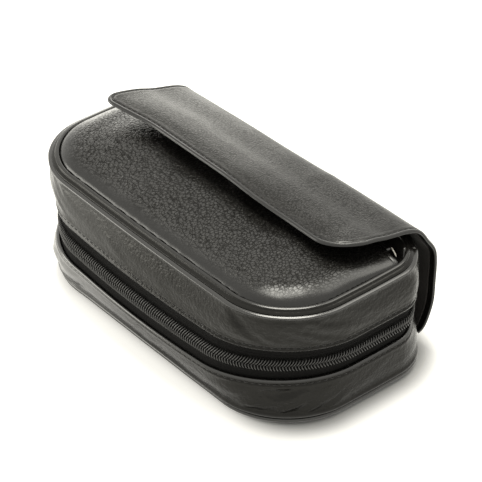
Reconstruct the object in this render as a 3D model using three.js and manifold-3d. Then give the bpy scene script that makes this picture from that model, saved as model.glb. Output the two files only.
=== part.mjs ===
// Zipped leather grooming case, lying on its back, with a wide flap that wraps over its rear side.
// Millimetres. +Z up, +X along the case, -Y is the long side with the zip, +Y is the hinged side.
// The origin is on the table, under the middle of the case's length.
import * as THREE from 'three';
import { mergeVertices } from 'three/addons/utils/BufferGeometryUtils.js';
import Module from 'manifold-3d';

// ---- Heights -------------------------------------------------------------------------------
const caseHeight = 60; // table to the top of the front binding
const bindingHeight = 3.2; // bottom binding, table to the seam
const frontBindingHeight = 3.5; // front binding, seam to its top
const zipHeight = 29.3; // table to the line where the two halves part
const zipOpening = 15.7; // between the turned edges of the two gusset bands

// ---- Plan of the outer leather, at the four seams ------------------------------------------
const halfLength = 85; // of the case, at the zip's upper edge
const frontReach = 45; // from the X axis to the zip side's ends, at both bindings
const rearReach = 44.2; // from the X axis to the rear side, at the zip's upper edge

// Each seam steps in or out from those. bulge is how far the long zip side swells at its middle,
// and endBulge is how far each short end swells.
function planOf(stepIn, forward, rearStepIn, frontCorner, rearCorner) {
  return {
    halfLength: halfLength - stepIn,
    front: frontReach + forward,
    rear: rearReach - rearStepIn,
    frontCorner,
    rearCorner,
  };
}
const bottomPlan = planOf(3.4, 0, 4.2, 33, 20.5);
const lowerZipPlan = planOf(2.6, 1.2, 0.4, 41, 23.5);
const upperZipPlan = planOf(0, 0.2, 0, 39, 23.5);
const rimPlan = planOf(1, 0, 9, 31, 18);
const bulgeAt = { bottom: 0.4, lowerZip: 7.2, upperZip: 5.8, rim: 1.3 };
const endBulge = 1;
const rearTurnIn = 3.5; // how late the rear side turns in towards the rim, higher is later

// ---- Materials' thicknesses and clearances -------------------------------------------------
const leather = 1.4;
const board = 1.2;
const lining = 0.7;
const tape = 0.8;
const flapLeather = 1.1;
const flapLiningThickness = 0.6;
const clearance = 0.3; // between pieces that are sewn or glued together

// ---- Front pocket --------------------------------------------------------------------------
const pocketCrown = 4.2; // how far the padded pocket rises above the binding
const pocketMouthFall = 0.42; // share of its rise that the pocket loses towards its mouth
const pocketThickness = 2.2;
const pocketMouth = 20.5; // distance of the pocket's open edge from the X axis
const pocketHem = 2; // width of the turned strip along the mouth

// ---- Bindings ------------------------------------------------------------------------------
const bindingWidth = 4.4;
const bindingProud = 0.6; // how far a binding stands out past the band

// ---- Zip -----------------------------------------------------------------------------------
const coilPitch = 1.5;
const coilWidth = 3; // of one row
const coilStandOut = 0.25; // the crest of a turn, past the band's outer face
const coilRib = 0.45; // depth of the hollow between two turns
const coilMesh = 0.45; // how far a turn reaches between two of the other row's turns
const coilParting = 0.5; // between the two rows
const tapeHem = 4.5; // how much of a tape is hidden behind its band
const parkedParting = 1.6; // between the rows where the slider runs

// ---- Slider and pull -----------------------------------------------------------------------
const sliderLength = 9;
const sliderWidth = 7.4;
const sliderPlate = 1;
const sliderStart = 14; // distance of the slider's middle from the X axis when the case is shut
const sliderTravel = 14;
const bridgeWidth = 1.6;
const bridgeSpan = 6.4;
const bridgeRise = 2.8;
const bridgeThickness = 0.9;
const pullLength = 27;
const pullWidth = 5;
const pullThickness = 1;
const pullGripHole = 2.4;

// ---- Flap ----------------------------------------------------------------------------------
const flapHalfLength = 74.3;
const flapLift = 12; // front edge above the top of the case
const flapReach = 5.2; // front edge, past the X axis towards the zip side
const flapLeftCorner = 9;
const flapRightCorner = 18;
const flapFoldHeight = 3.4; // the fold line, below the top of the case
const flapCrestLift = 1.3; // the crest rises this much towards the right end
const flapEdgeDroop = 2.8; // the front edge drops this much towards the right end
const flapStandOff = 0.8; // between the flap's lining and the rear gusset
const flapCrestReach = 6; // the crest bends this far forward of the rear edge, then runs straight
const foldGap = 0.5; // between the flap's two halves, where the leather bends

// ---- Press fastener ------------------------------------------------------------------------
const snapOffset = 3; // distance of the fastener from the X axis, towards the rear
const snapRadius = 4.2;
const snapThickness = 1.2;

// ---- Inside --------------------------------------------------------------------------------
const frontPanelDepth = 2.3; // the front panel's face, below the rim seam
const strapWidth = 16;
const strapThickness = 1.2;
const strapLoopHalf = 9; // half the width of one tool loop
const strapLoopHeight = 9;
const strapLoops = 4;
const strapPlace = 4; // the strap's middle, distance from the X axis towards the rear

// ---- Heights worked out from the above -----------------------------------------------------
const rimSeam = caseHeight - frontBindingHeight;
const lowerZipEdge = zipHeight - zipOpening / 2;
const upperZipEdge = zipHeight + zipOpening / 2;
const tapeOffset = -(leather + clearance);
const liningOffset = tapeOffset - tape - 2 * clearance;
const floorTop = leather + clearance + board + clearance;
const frontPanelTop = rimSeam - frontPanelDepth;
const frontPanelBottom = frontPanelTop - leather;
const frontBoardTop = frontPanelBottom - clearance;
const ceilingTop = frontBoardTop - board - clearance;
const flapThickness = flapLeather + clearance + flapLiningThickness;
const hingeY = lerp(lowerZipPlan.rear, upperZipPlan.rear, 0.5) + 0.4;

// ---- Mesh building -------------------------------------------------------------------------
function lerp(a, b, t) {
  return a + (b - a) * t;
}

function smooth(t) {
  const u = THREE.MathUtils.clamp(t, 0, 1);
  return u * u * (3 - 2 * u);
}

// Signed volume of a triangle list: positive when the faces point out.
function signedVolume(points, faces) {
  let volume = 0;
  const normal = new THREE.Vector3();
  for (const [a, b, c] of faces) {
    normal.crossVectors(points[b], points[c]);
    volume += points[a].dot(normal) / 6;
  }
  return volume;
}

function solidFrom(points, faces) {
  const outward = signedVolume(points, faces) > 0;
  const index = faces.flatMap(([a, b, c]) => (outward ? [a, b, c] : [a, c, b]));
  const geometry = new THREE.BufferGeometry();
  const places = points.flatMap((p) => p.toArray());
  geometry.setAttribute('position', new THREE.Float32BufferAttribute(places, 3));
  geometry.setIndex(index);
  geometry.computeVertexNormals();
  return geometry;
}

// Joins two loops of the same number of points by a strip of triangles.
function joinLoops(faces, first, second, count) {
  for (let i = 0; i < count; i += 1) {
    const j = (i + 1) % count;
    faces.push([first + i, first + j, second + j], [first + i, second + j, second + i]);
  }
}

// A closed body through a row of sections. Each section lists its outer edge and then its inner
// edge backwards, so an end is closed like a ladder between the two edges.
function loftStrip(sections) {
  const count = sections[0].length;
  const points = sections.flat();
  const faces = [];
  for (let k = 0; k + 1 < sections.length; k += 1) {
    joinLoops(faces, k * count, (k + 1) * count, count);
  }
  const last = (sections.length - 1) * count;
  for (let i = 0, j = count - 1; j - i > 1; i += 1, j -= 1) {
    faces.push([i, j, j - 1], [last + i, last + j - 1, last + j]);
    if (j - 1 > i + 1) {
      faces.push([i, j - 1, i + 1], [last + i, last + i + 1, last + j - 1]);
    }
  }
  return solidFrom(points, faces);
}

// The same body when its row of sections runs right round and meets itself.
function loftRing(sections) {
  const count = sections[0].length;
  const faces = [];
  sections.forEach((_, k) => joinLoops(faces, k * count, ((k + 1) % sections.length) * count, count));
  return solidFrom(sections.flat(), faces);
}

// A closed body through rings stacked on each other, closed by a fan at the first and last ring.
function loftStack(rings) {
  const count = rings[0].length;
  const points = rings.flat();
  const faces = [];
  for (let k = 0; k + 1 < rings.length; k += 1) {
    joinLoops(faces, k * count, (k + 1) * count, count);
  }
  const last = (rings.length - 1) * count;
  points.push(middleOf(rings[0]), middleOf(rings[rings.length - 1]));
  for (let i = 0; i < count; i += 1) {
    const j = (i + 1) % count;
    faces.push([points.length - 2, j, i], [points.length - 1, last + i, last + j]);
  }
  return solidFrom(points, faces);
}

function middleOf(ring) {
  const middle = new THREE.Vector3();
  ring.forEach((p) => middle.add(p));
  return middle.divideScalar(ring.length);
}

// ---- Plan outline --------------------------------------------------------------------------
// Where a height lies between two seams, the plan is blended between theirs.
function planAt(height) {
  let from = bottomPlan;
  let to = lowerZipPlan;
  let fromBulge = bulgeAt.bottom;
  let toBulge = bulgeAt.lowerZip;
  let t = (height - bindingHeight) / (lowerZipEdge - bindingHeight);
  let turnIn = 1;
  if (height > upperZipEdge) {
    from = upperZipPlan;
    to = rimPlan;
    fromBulge = bulgeAt.upperZip;
    toBulge = bulgeAt.rim;
    t = (height - upperZipEdge) / (rimSeam - upperZipEdge);
    turnIn = rearTurnIn;
  } else if (height > lowerZipEdge) {
    from = lowerZipPlan;
    to = upperZipPlan;
    fromBulge = bulgeAt.lowerZip;
    toBulge = bulgeAt.upperZip;
    t = (height - lowerZipEdge) / zipOpening;
  }
  t = THREE.MathUtils.clamp(t, 0, 1);
  return {
    halfLength: lerp(from.halfLength, to.halfLength, t),
    front: lerp(from.front, to.front, t),
    rear: lerp(from.rear, to.rear, t ** turnIn),
    frontCorner: lerp(from.frontCorner, to.frontCorner, t),
    rearCorner: lerp(from.rearCorner, to.rearCorner, t),
    bulge: lerp(fromBulge, toBulge, t),
  };
}

// The outline is walked from the left rear corner, along the left end, the zip side and the right
// end to the right rear corner, and then back along the rear. Each stretch has its own steps.
const steps = { end: 3, frontCorner: 8, front: 8, rearCorner: 5, rear: 4 };
const zipWalk = 2 * steps.end + 2 * steps.frontCorner + steps.front;
const wholeWalk = zipWalk + 2 * steps.rearCorner + steps.rear;

function walkPoint(plan, walk) {
  const { halfLength: hx, front, rear, frontCorner: rf, rearCorner: rr } = plan;
  const quarter = Math.PI / 2;
  const corner = (cx, cy, r, from, t) => new THREE.Vector2(
    cx + r * Math.cos(from + quarter * t),
    cy + r * Math.sin(from + quarter * t),
  );
  const stretches = [
    [steps.end, (t) => new THREE.Vector2(-hx, lerp(rear - rr, rf - front, t))],
    [steps.frontCorner, (t) => corner(rf - hx, rf - front, rf, 2 * quarter, t)],
    [steps.front, (t) => new THREE.Vector2(lerp(rf - hx, hx - rf, t), -front)],
    [steps.frontCorner, (t) => corner(hx - rf, rf - front, rf, 3 * quarter, t)],
    [steps.end, (t) => new THREE.Vector2(hx, lerp(rf - front, rear - rr, t))],
    [steps.rearCorner, (t) => corner(hx - rr, rear - rr, rr, 0, t)],
    [steps.rear, (t) => new THREE.Vector2(lerp(hx - rr, rr - hx, t), rear)],
    [steps.rearCorner, (t) => corner(rr - hx, rear - rr, rr, quarter, t)],
  ];
  let rest = ((walk % wholeWalk) + wholeWalk) % wholeWalk;
  let stretch = 0;
  while (rest > stretches[stretch][0]) {
    rest -= stretches[stretch][0];
    stretch += 1;
  }
  const p = stretches[stretch][1](rest / stretches[stretch][0]);
  const side = Math.max(-p.y / front, 0);
  const middle = (rear - front) / 2;
  const across = (p.y - middle) / ((rear + front) / 2);
  const swell = endBulge * (1 - across * across) * (p.x / hx) ** 2 * Math.sign(p.x);
  return new THREE.Vector2(p.x + swell, p.y - plan.bulge * side * (1 - (p.x / hx) ** 2));
}

// A point on the wall: `offset` is measured outwards, square to the wall seen from above.
function wallPoint(walk, height, offset) {
  const plan = planAt(height);
  const nudge = 0.05;
  const here = walkPoint(plan, walk);
  const along = walkPoint(plan, walk + nudge).sub(walkPoint(plan, walk - nudge)).normalize();
  return new THREE.Vector3(here.x + along.y * offset, here.y - along.x * offset, height);
}

function wallRing(height, offset) {
  return Array.from({ length: wholeWalk }, (_, walk) => wallPoint(walk, height, offset));
}

// A section of the wall at one place on the walk, from [offset, height] pairs.
function wallSection(walk, pairs) {
  return pairs.map(([offset, height]) => wallPoint(walk, height, offset));
}

function walkRange(from, to) {
  return Array.from({ length: to - from + 1 }, (_, i) => from + i);
}

// ---- Gusset bands --------------------------------------------------------------------------
// A band's section, with its zip edge turned over in a soft bead. `seam` is its sewn edge.
function bandPairs(seam, edge) {
  const up = Math.sign(edge - seam);
  const bead = 1.1;
  const outer = [
    [-0.4, seam],
    [0, seam + up * bead],
    [0, lerp(seam, edge, 0.38)],
    [0, lerp(seam, edge, 0.7)],
    [0, edge - up * bead],
    [-0.45, edge],
  ];
  const inner = outer.map(([, height]) => [-leather, height]);
  return [...outer, ...inner.reverse()];
}

function zipSideBand(seam, edge) {
  return loftStrip(walkRange(0, zipWalk).map((walk) => wallSection(walk, bandPairs(seam, edge))));
}

// The rear gusset starts a little past the zip's ends, on both sides, by this part of a step.
const bandSeam = 0.2;

function rearBand(seam, edge) {
  const start = zipWalk + bandSeam;
  const end = wholeWalk - bandSeam;
  const walks = [start, ...walkRange(zipWalk + 1, wholeWalk - 1), end];
  return loftStrip(walks.map((walk) => wallSection(walk, bandPairs(seam, edge))));
}

// ---- Bindings ------------------------------------------------------------------------------
// `seam` is the height where the binding meets its band and `face` is its outer face.
function binding(seam, face) {
  const up = Math.sign(face - seam);
  const rise = Math.abs(face - seam);
  const at = (share) => seam + up * (clearance + share * (rise - clearance));
  const pairs = [
    [-0.4, at(0)],
    [bindingProud, at(0.3)],
    [bindingProud, at(0.65)],
    [-0.7, at(1)],
    [-bindingWidth + 1, at(0.97)],
    [-bindingWidth, at(0.7)],
    [-bindingWidth, at(0.35)],
    [-bindingWidth / 2, at(0.08)],
  ];
  return loftRing(walkRange(0, wholeWalk - 1).map((walk) => wallSection(walk, pairs)));
}

// ---- Flat plates and lining trays ----------------------------------------------------------
function plate(bottom, top, inset, shapeHeight) {
  const ring = (height) => wallRing(shapeHeight, -inset).map((p) => p.clone().setZ(height));
  return loftStack([ring(bottom), ring(top)]);
}

// A tray of lining cloth: its floor lies at `floor` and its wall ends at `lip`.
function liningTray(floor, lip) {
  const up = Math.sign(lip - floor);
  const turn = zipHeight - up * zipOpening / 2;
  const outside = [floor, turn, lip].map((height) => wallRing(height, liningOffset));
  const within = [lip, turn, floor + up * lining];
  const inside = within.map((height) => wallRing(height, liningOffset - lining));
  return loftStack([...outside, ...inside]);
}

// ---- Front pocket --------------------------------------------------------------------------
// The padded pocket is a crowned lid over the front panel: `share` is 1 on its sewn outline and 0
// in its middle, and the rise is steep by the binding and nearly flat in the middle.
const pocketBase = frontPanelTop + clearance;
const pocketOutline = wallRing(rimSeam, -(bindingWidth + clearance));
const pocketMiddle = new THREE.Vector2(0, (rimPlan.rear - rimPlan.front) / 2);

const pocketEdgeDrop = 1.6; // the pocket's sewn edge, below the top of the binding

function pocketTop(share, y) {
  const edge = caseHeight - pocketEdgeDrop;
  const rise = (pocketCrown + pocketEdgeDrop) * (1 - share ** 7) ** 0.8 * (1 - 0.12 * share * share);
  const towardsMouth = smooth((y - pocketMiddle.y) / (pocketMouth - pocketMiddle.y));
  return edge + rise * (1 - pocketMouthFall * towardsMouth);
}

// A ring of the pocket, `depth` below its top, or at a given height.
function pocketRing(share, depth, height) {
  return pocketOutline.map((p) => {
    const x = lerp(pocketMiddle.x, p.x, share);
    const y = lerp(pocketMiddle.y, p.y, share);
    return new THREE.Vector3(x, y, height ?? pocketTop(share, y) - depth);
  });
}

// How far out a point lies on the pocket, as a share of the outline in its direction.
function pocketShare(x, y) {
  const angle = Math.atan2(y - pocketMiddle.y, x - pocketMiddle.x);
  let best = null;
  pocketOutline.forEach((p) => {
    const off = Math.abs(Math.atan2(p.y - pocketMiddle.y, p.x - pocketMiddle.x) - angle);
    const turn = Math.min(off, 2 * Math.PI - off);
    if (best === null || turn < best.turn) {
      best = { turn, radius: Math.hypot(p.x - pocketMiddle.x, p.y - pocketMiddle.y) };
    }
  });
  return Math.hypot(x - pocketMiddle.x, y - pocketMiddle.y) / best.radius;
}

const wasm = await Module();
wasm.setup();

function toManifold(geometry) {
  const bare = geometry.clone();
  bare.deleteAttribute('normal');
  bare.deleteAttribute('uv');
  const merged = mergeVertices(bare);
  const vertProperties = new Float32Array(merged.attributes.position.array);
  const triVerts = new Uint32Array(merged.index.array);
  return new wasm.Manifold(new wasm.Mesh({ numProp: 3, vertProperties, triVerts }));
}

function fromManifold(solid) {
  const mesh = solid.getMesh();
  const geometry = new THREE.BufferGeometry();
  geometry.setAttribute('position', new THREE.BufferAttribute(new Float32Array(mesh.vertProperties), 3));
  geometry.setIndex(new THREE.BufferAttribute(new Uint32Array(mesh.triVerts), 1));
  geometry.computeVertexNormals();
  return geometry;
}

function frontPocket() {
  const outerShares = [0.985, 0.955, 0.9, 0.8, 0.62, 0.3];
  const innerShares = [0.88, 0.8, 0.62, 0.3];
  const wall = 0.93;
  const dome = loftStack([
    pocketRing(1, 0, pocketBase),
    pocketRing(1, 0),
    ...outerShares.map((share) => pocketRing(share, 0)),
  ]);
  const hollow = loftStack([
    pocketRing(wall, 0, pocketBase - 1),
    pocketRing(wall, 1.6 * pocketThickness),
    ...innerShares.map((share) => pocketRing(share, pocketThickness)),
  ]);
  const behindMouth = rimPlan.front + rimPlan.rear;
  const cut = new THREE.BoxGeometry(3 * halfLength, behindMouth, caseHeight);
  cut.translate(0, pocketMouth + behindMouth / 2, caseHeight);
  return fromManifold(toManifold(dome).subtract(toManifold(hollow)).subtract(toManifold(cut)));
}

// The turned strip along the pocket's mouth follows the crown from side to side.
function pocketEdge() {
  const reach = 0.86 * rimPlan.halfLength;
  const count = 13;
  const sections = Array.from({ length: count }, (_, i) => {
    const x = lerp(-reach, reach, i / (count - 1));
    const top = pocketTop(pocketShare(x, pocketMouth), pocketMouth) - 0.1;
    const near = pocketMouth + clearance;
    const far = near + pocketHem;
    const bottom = top - pocketThickness;
    return [
      new THREE.Vector3(x, near, top),
      new THREE.Vector3(x, far, top - 0.4),
      new THREE.Vector3(x, far, bottom + 0.2),
      new THREE.Vector3(x, near, bottom),
    ];
  });
  return loftStrip(sections);
}

// ---- Zip -----------------------------------------------------------------------------------
const walkLengths = (() => {
  const parts = 24;
  const list = [{ walk: 0, length: 0 }];
  let before = wallPoint(0, zipHeight, 0);
  for (let k = 1; k <= zipWalk * parts; k += 1) {
    const walk = k / parts;
    const here = wallPoint(walk, zipHeight, 0);
    list.push({ walk, length: list[k - 1].length + here.distanceTo(before) });
    before = here;
  }
  return list;
})();
const zipLength = walkLengths[walkLengths.length - 1].length;

function walkAtLength(length) {
  let k = 1;
  while (k < walkLengths.length - 1 && walkLengths[k].length < length) {
    k += 1;
  }
  const [from, to] = [walkLengths[k - 1], walkLengths[k]];
  return lerp(from.walk, to.walk, (length - from.length) / (to.length - from.length));
}

// Half the distance between the rows: wide where the slider runs, narrow elsewhere.
const sliderEnd = sliderStart - sliderTravel;
const sliderReach = lowerZipPlan.rear - lowerZipPlan.rearCorner - sliderEnd + sliderLength / 2;
function halfParting(length) {
  return lerp(parkedParting, coilParting, smooth((length - sliderReach - 2) / 6)) / 2;
}

function zipTape(side) {
  const hidden = zipHeight + side * (zipOpening / 2 + tapeHem);
  return loftStrip(walkRange(0, zipWalk).map((walk) => {
    const length = walkLengths[Math.round(walk * 24)].length;
    const edge = zipHeight + side * (halfParting(length) + 0.2);
    const turn = zipHeight + side * zipOpening / 2;
    return wallSection(walk, [
      [tapeOffset, edge],
      [tapeOffset, turn],
      [tapeOffset, hidden],
      [tapeOffset - tape, hidden],
      [tapeOffset - tape, turn],
      [tapeOffset - tape, edge],
    ]);
  }));
}

// One row of the coil. Crests and hollows follow each other half a pitch apart, and the crests of
// one row stand between those of the other, so the line between the rows is a zigzag.
function zipCoil(side) {
  const count = Math.floor(zipLength / coilPitch) * 2;
  const sections = Array.from({ length: count + 1 }, (_, k) => {
    const length = lerp(0.4, zipLength - 0.4, k / count);
    const crest = k % 2 === 0 ? 1 : -1;
    const meshing = coilMesh * (1 - smooth((halfParting(length) - coilParting / 2) / 0.2));
    const nose = zipHeight + crest * meshing + side * halfParting(length);
    const back = zipHeight + side * (coilWidth + coilParting / 2);
    const rib = crest === side ? 0 : coilRib;
    const walk = walkAtLength(length);
    return wallSection(walk, [
      [tapeOffset + clearance, nose],
      [coilStandOut - rib, lerp(nose, back, 0.35)],
      [tapeOffset + clearance, back],
    ]);
  });
  return loftStrip(sections);
}

// ---- Slider --------------------------------------------------------------------------------
// The slider stands on the left end, with its own axes: x along the zip towards the front,
// y up along the tape and z out of the case.
const endLean = Math.atan2(upperZipPlan.halfLength - lowerZipPlan.halfLength, zipOpening);
const sliderSeat = wallPoint(steps.end / 2, zipHeight, 0).x;

function sliderFrame() {
  const along = new THREE.Vector3(0, -1, 0);
  const up = new THREE.Vector3(-Math.sin(endLean), 0, Math.cos(endLean));
  const out = new THREE.Vector3().crossVectors(along, up);
  const frame = new THREE.Matrix4().makeBasis(along, up, out);
  return frame.setPosition(sliderSeat, sliderStart, zipHeight);
}

function sliderOutline(half, width) {
  const shape = new THREE.Shape();
  const nose = width * 0.36;
  const shoulder = width / 2;
  shape.moveTo(-half, -nose);
  shape.lineTo(half * 0.5, -shoulder);
  shape.quadraticCurveTo(half, -shoulder, half, -shoulder * 0.6);
  shape.lineTo(half, shoulder * 0.6);
  shape.quadraticCurveTo(half, shoulder, half * 0.5, shoulder);
  shape.lineTo(-half, nose);
  shape.closePath();
  return shape;
}

const plateFace = coilStandOut + clearance; // underside of the slider's outer plate
const plateTop = plateFace + sliderPlate;
const pullAxis = plateTop + 0.9; // the pull's pivot, out from the wall
const backFace = tapeOffset - tape - clearance; // outer face of the plate behind the tape

function extruded(shape, depth, from, curveSegments = 4) {
  const geometry = new THREE.ExtrudeGeometry(shape, { depth, bevelEnabled: false, curveSegments });
  geometry.translate(0, 0, from);
  return geometry;
}

function box(x0, x1, y0, y1, z0, z1) {
  const geometry = new THREE.BoxGeometry(x1 - x0, y1 - y0, z1 - z0);
  geometry.translate((x0 + x1) / 2, (y0 + y1) / 2, (z0 + z1) / 2);
  return geometry;
}

function sliderBody() {
  const half = sliderLength / 2;
  const web = (parkedParting - 2 * clearance) / 2;
  const lipTop = -(coilWidth + coilParting / 2 + clearance);
  const outerPlate = extruded(sliderOutline(half, sliderWidth + 1.4), sliderPlate, plateFace);
  const innerThickness = sliderPlate * 0.9;
  const innerPlate = extruded(sliderOutline(half * 0.9, 5.6), innerThickness, backFace - innerThickness);
  const wedge = box(-half * 0.1, half * 0.7, -web, web, backFace - 0.1, plateFace + 0.1);
  const lip = box(-half * 0.4, half * 0.8, lipTop - 0.6, lipTop, tapeOffset + 0.6, plateFace + 0.1);
  const arch = new THREE.Shape();
  const reach = bridgeSpan / 2;
  const crown = plateTop + bridgeRise;
  arch.moveTo(-reach, plateTop - 0.1);
  arch.lineTo(-reach, crown - 1.2);
  arch.quadraticCurveTo(-reach, crown, 1.2 - reach, crown);
  arch.lineTo(reach - 1.2, crown);
  arch.quadraticCurveTo(reach, crown, reach, crown - 1.2);
  arch.lineTo(reach, plateTop - 0.1);
  arch.lineTo(reach - bridgeThickness, plateTop - 0.1);
  arch.lineTo(reach - bridgeThickness, crown - bridgeThickness);
  arch.lineTo(bridgeThickness - reach, crown - bridgeThickness);
  arch.lineTo(bridgeThickness - reach, plateTop - 0.1);
  arch.closePath();
  const bridge = extruded(arch, bridgeWidth, -bridgeWidth / 2);
  bridge.rotateX(Math.PI / 2);
  const pieces = [innerPlate, wedge, lip, bridge].map(toManifold);
  return fromManifold(pieces.reduce((sum, piece) => sum.add(piece), toManifold(outerPlate)));
}

// The pull is a flat tab whose eye holds a leg of the bridge, with a hole in its grip.
function sliderPull() {
  const half = pullWidth / 2;
  const waist = half * 0.72;
  const bar = 0.5;
  const shape = new THREE.Shape();
  shape.moveTo(-bar, -half);
  shape.lineTo(6, -half);
  shape.quadraticCurveTo(8, -waist, 10, -waist);
  shape.lineTo(pullLength - 6, -half);
  shape.absarc(pullLength - half, 0, half, -Math.PI / 2, Math.PI / 2, false);
  shape.lineTo(10, waist);
  shape.quadraticCurveTo(8, waist, 6, half);
  shape.lineTo(-bar, half);
  shape.closePath();
  const eye = new THREE.Path();
  const eyeHalf = bridgeWidth / 2 + 0.35;
  eye.moveTo(bar, -eyeHalf);
  eye.lineTo(bar, eyeHalf);
  eye.lineTo(5.4, eyeHalf);
  eye.lineTo(5.4, -eyeHalf);
  eye.closePath();
  const grip = new THREE.Path();
  grip.absarc(pullLength - half - 0.6, 0, pullGripHole / 2, 0, Math.PI * 2, true);
  shape.holes.push(eye, grip);
  return extruded(shape, pullThickness, pullAxis - pullThickness / 2, 6);
}

// ---- Flap ----------------------------------------------------------------------------------
// The flap's outer profile, seen along X: up the rear side at an even distance from the gusset,
// over the rear edge of the binding and forward above the pocket.
function rearWall(height) {
  return planAt(height).rear;
}

const flapProfile = (() => {
  const off = flapStandOff + flapThickness;
  const rise = rimSeam - bindingHeight;
  const up = [0.01, 0.17, 0.34, 0.52, 0.72, 0.88].map((share) => {
    const height = bindingHeight + clearance + share * rise;
    return new THREE.Vector2(rearWall(height) + off, height);
  });
  const rearEdge = rimPlan.rear + bindingProud;
  const over = clearance + flapThickness;
  const crest = [
    new THREE.Vector2(rearEdge + 0.75 * over, caseHeight - 1.4 + 0.66 * over),
    new THREE.Vector2(rearEdge - 1.3 + 0.5 * over, caseHeight + 0.87 * over),
  ];
  const landing = new THREE.Vector2(rearEdge - flapCrestReach, caseHeight + 1.02 * over);
  const tip = new THREE.Vector2(-flapReach, caseHeight + flapLift);
  const forward = [0, 0.33, 0.66, 1].map((share) => landing.clone().lerp(tip, share));
  return new THREE.SplineCurve([...up, ...crest, ...forward]);
})();
const flapLength = flapProfile.getLength();

// How far along the profile the first point is, from `from` on, that passes a test.
function profileShare(from, test) {
  let share = from;
  while (!test(flapProfile.getPointAt(share))) {
    share += 0.002;
  }
  return share;
}

// The fold lies on the rear side, a little below the top, and the crest ends where the flap runs
// straight.
const foldShare = profileShare(0.3, (p) => p.y > caseHeight - flapFoldHeight);
const crestShare = profileShare(foldShare, (p) => p.x < rimPlan.rear + bindingProud - flapCrestReach);

// The flap isn't quite straight along its length: its crest rises and its front edge drops a
// little towards the right end.
function flapDrape(x, share) {
  const tilt = x / flapHalfLength;
  const pastFold = smooth((share - foldShare) / 0.12);
  const crest = flapCrestLift * ((tilt + 1) / 2) * pastFold * smooth((1 - share) / 0.3);
  const edge = -flapEdgeDroop * smooth((tilt - 0.1) / 0.9) * smooth((share - 0.6) / 0.4);
  return crest + edge;
}

// A point `depth` below the flap's outer face.
function flapPoint(x, share, depth) {
  const p = flapProfile.getPointAt(share);
  const tangent = flapProfile.getTangentAt(share);
  return new THREE.Vector3(x, p.x - tangent.y * depth, p.y + tangent.x * depth + flapDrape(x, share));
}

// How much of the front edge a rounded corner takes away at x.
function cornerCut(x) {
  const radius = x > 0 ? flapRightCorner : flapLeftCorner;
  const into = Math.abs(x) - (flapHalfLength - radius);
  return into > 0 ? radius - Math.sqrt(Math.max(radius * radius - into * into, 0)) : 0;
}

function flapStations() {
  const arc = (radius, count) => Array.from({ length: count + 1 }, (_, i) => (
    flapHalfLength - radius * (1 - Math.sin((Math.PI / 2) * (i / count)))
  ));
  const left = arc(flapLeftCorner, 3).map((x) => -x).reverse();
  const right = arc(flapRightCorner, 5);
  const middle = [-0.55, -0.2, 0.15, 0.5].map((share) => share * flapHalfLength);
  return [...left, ...middle, ...right];
}

// The shares at which a layer is sampled. All stations share those of the rear side and of the
// crest, and only the straight stretch is shorter where a corner is rounded.
function backShares() {
  return Array.from({ length: 10 }, (_, i) => lerp(0, foldShare - foldHalfGap, i / 9));
}

function topShares(x) {
  const start = foldShare + foldHalfGap;
  const end = 1 - cornerCut(x) / flapLength;
  const crest = [0, 0.25, 0.5, 0.75].map((t) => lerp(start, crestShare, t));
  const straight = [0, 0.3, 0.65, 1].map((t) => lerp(crestShare, end, t));
  return [...crest, ...straight];
}

// One layer of the flap, from `depth` inwards. `hems` is how much shorter it is than the flap at
// its start and at its end.
function flapLayer(stations, sharesAt, depth, thickness, hems = [0, 0]) {
  const sections = stations.map((x) => {
    const shares = sharesAt(x);
    shares[0] += hems[0];
    shares[shares.length - 1] -= hems[1];
    const outer = shares.map((share) => flapPoint(x, share, depth));
    const inner = shares.map((share) => flapPoint(x, share, depth + thickness));
    return [...outer, ...inner.reverse()];
  });
  return loftStrip(sections);
}

const backStations = [-1, -0.6, -0.2, 0.2, 0.6, 1].map((share) => share * flapHalfLength);
const foldHalfGap = foldGap / 2 / flapLength;
const liningDepth = flapLeather + clearance;
const hemShare = 1.2 / flapLength; // the lining stops short of the flap's turned edge

// ---- Press fastener ------------------------------------------------------------------------
function snapSocket() {
  const share = profileShare(crestShare, (p) => p.x < snapOffset);
  const profile = [
    [0, 0],
    [snapRadius, 0],
    [snapRadius, snapThickness * 0.6],
    [snapRadius - 0.8, snapThickness],
    [0, snapThickness],
  ].map(([r, h]) => new THREE.Vector2(r, h));
  const socket = new THREE.LatheGeometry(profile, 20);
  const seat = flapPoint(0, share, flapThickness + clearance);
  const tangent = flapProfile.getTangentAt(share);
  const away = new THREE.Vector3(0, -tangent.y, tangent.x);
  socket.applyQuaternion(new THREE.Quaternion().setFromUnitVectors(new THREE.Vector3(0, 1, 0), away));
  socket.translate(seat.x, seat.y, seat.z);
  return socket;
}

function snapStud() {
  const profile = [
    [0, 0],
    [snapRadius - 0.6, 0],
    [snapRadius - 0.6, snapThickness * 0.4],
    [snapRadius * 0.5, snapThickness * 0.55],
    [snapRadius * 0.35, snapThickness],
    [0, snapThickness],
  ].map(([r, h]) => new THREE.Vector2(r, h));
  const stud = new THREE.LatheGeometry(profile, 20);
  stud.rotateX(Math.PI / 2);
  const under = [-1, 0, 1].map((side) => snapOffset + side * snapRadius);
  const seat = Math.max(...under.map((y) => pocketTop(pocketShare(0, y), y))) + clearance;
  stud.translate(0, snapOffset, seat);
  return stud;
}

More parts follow.
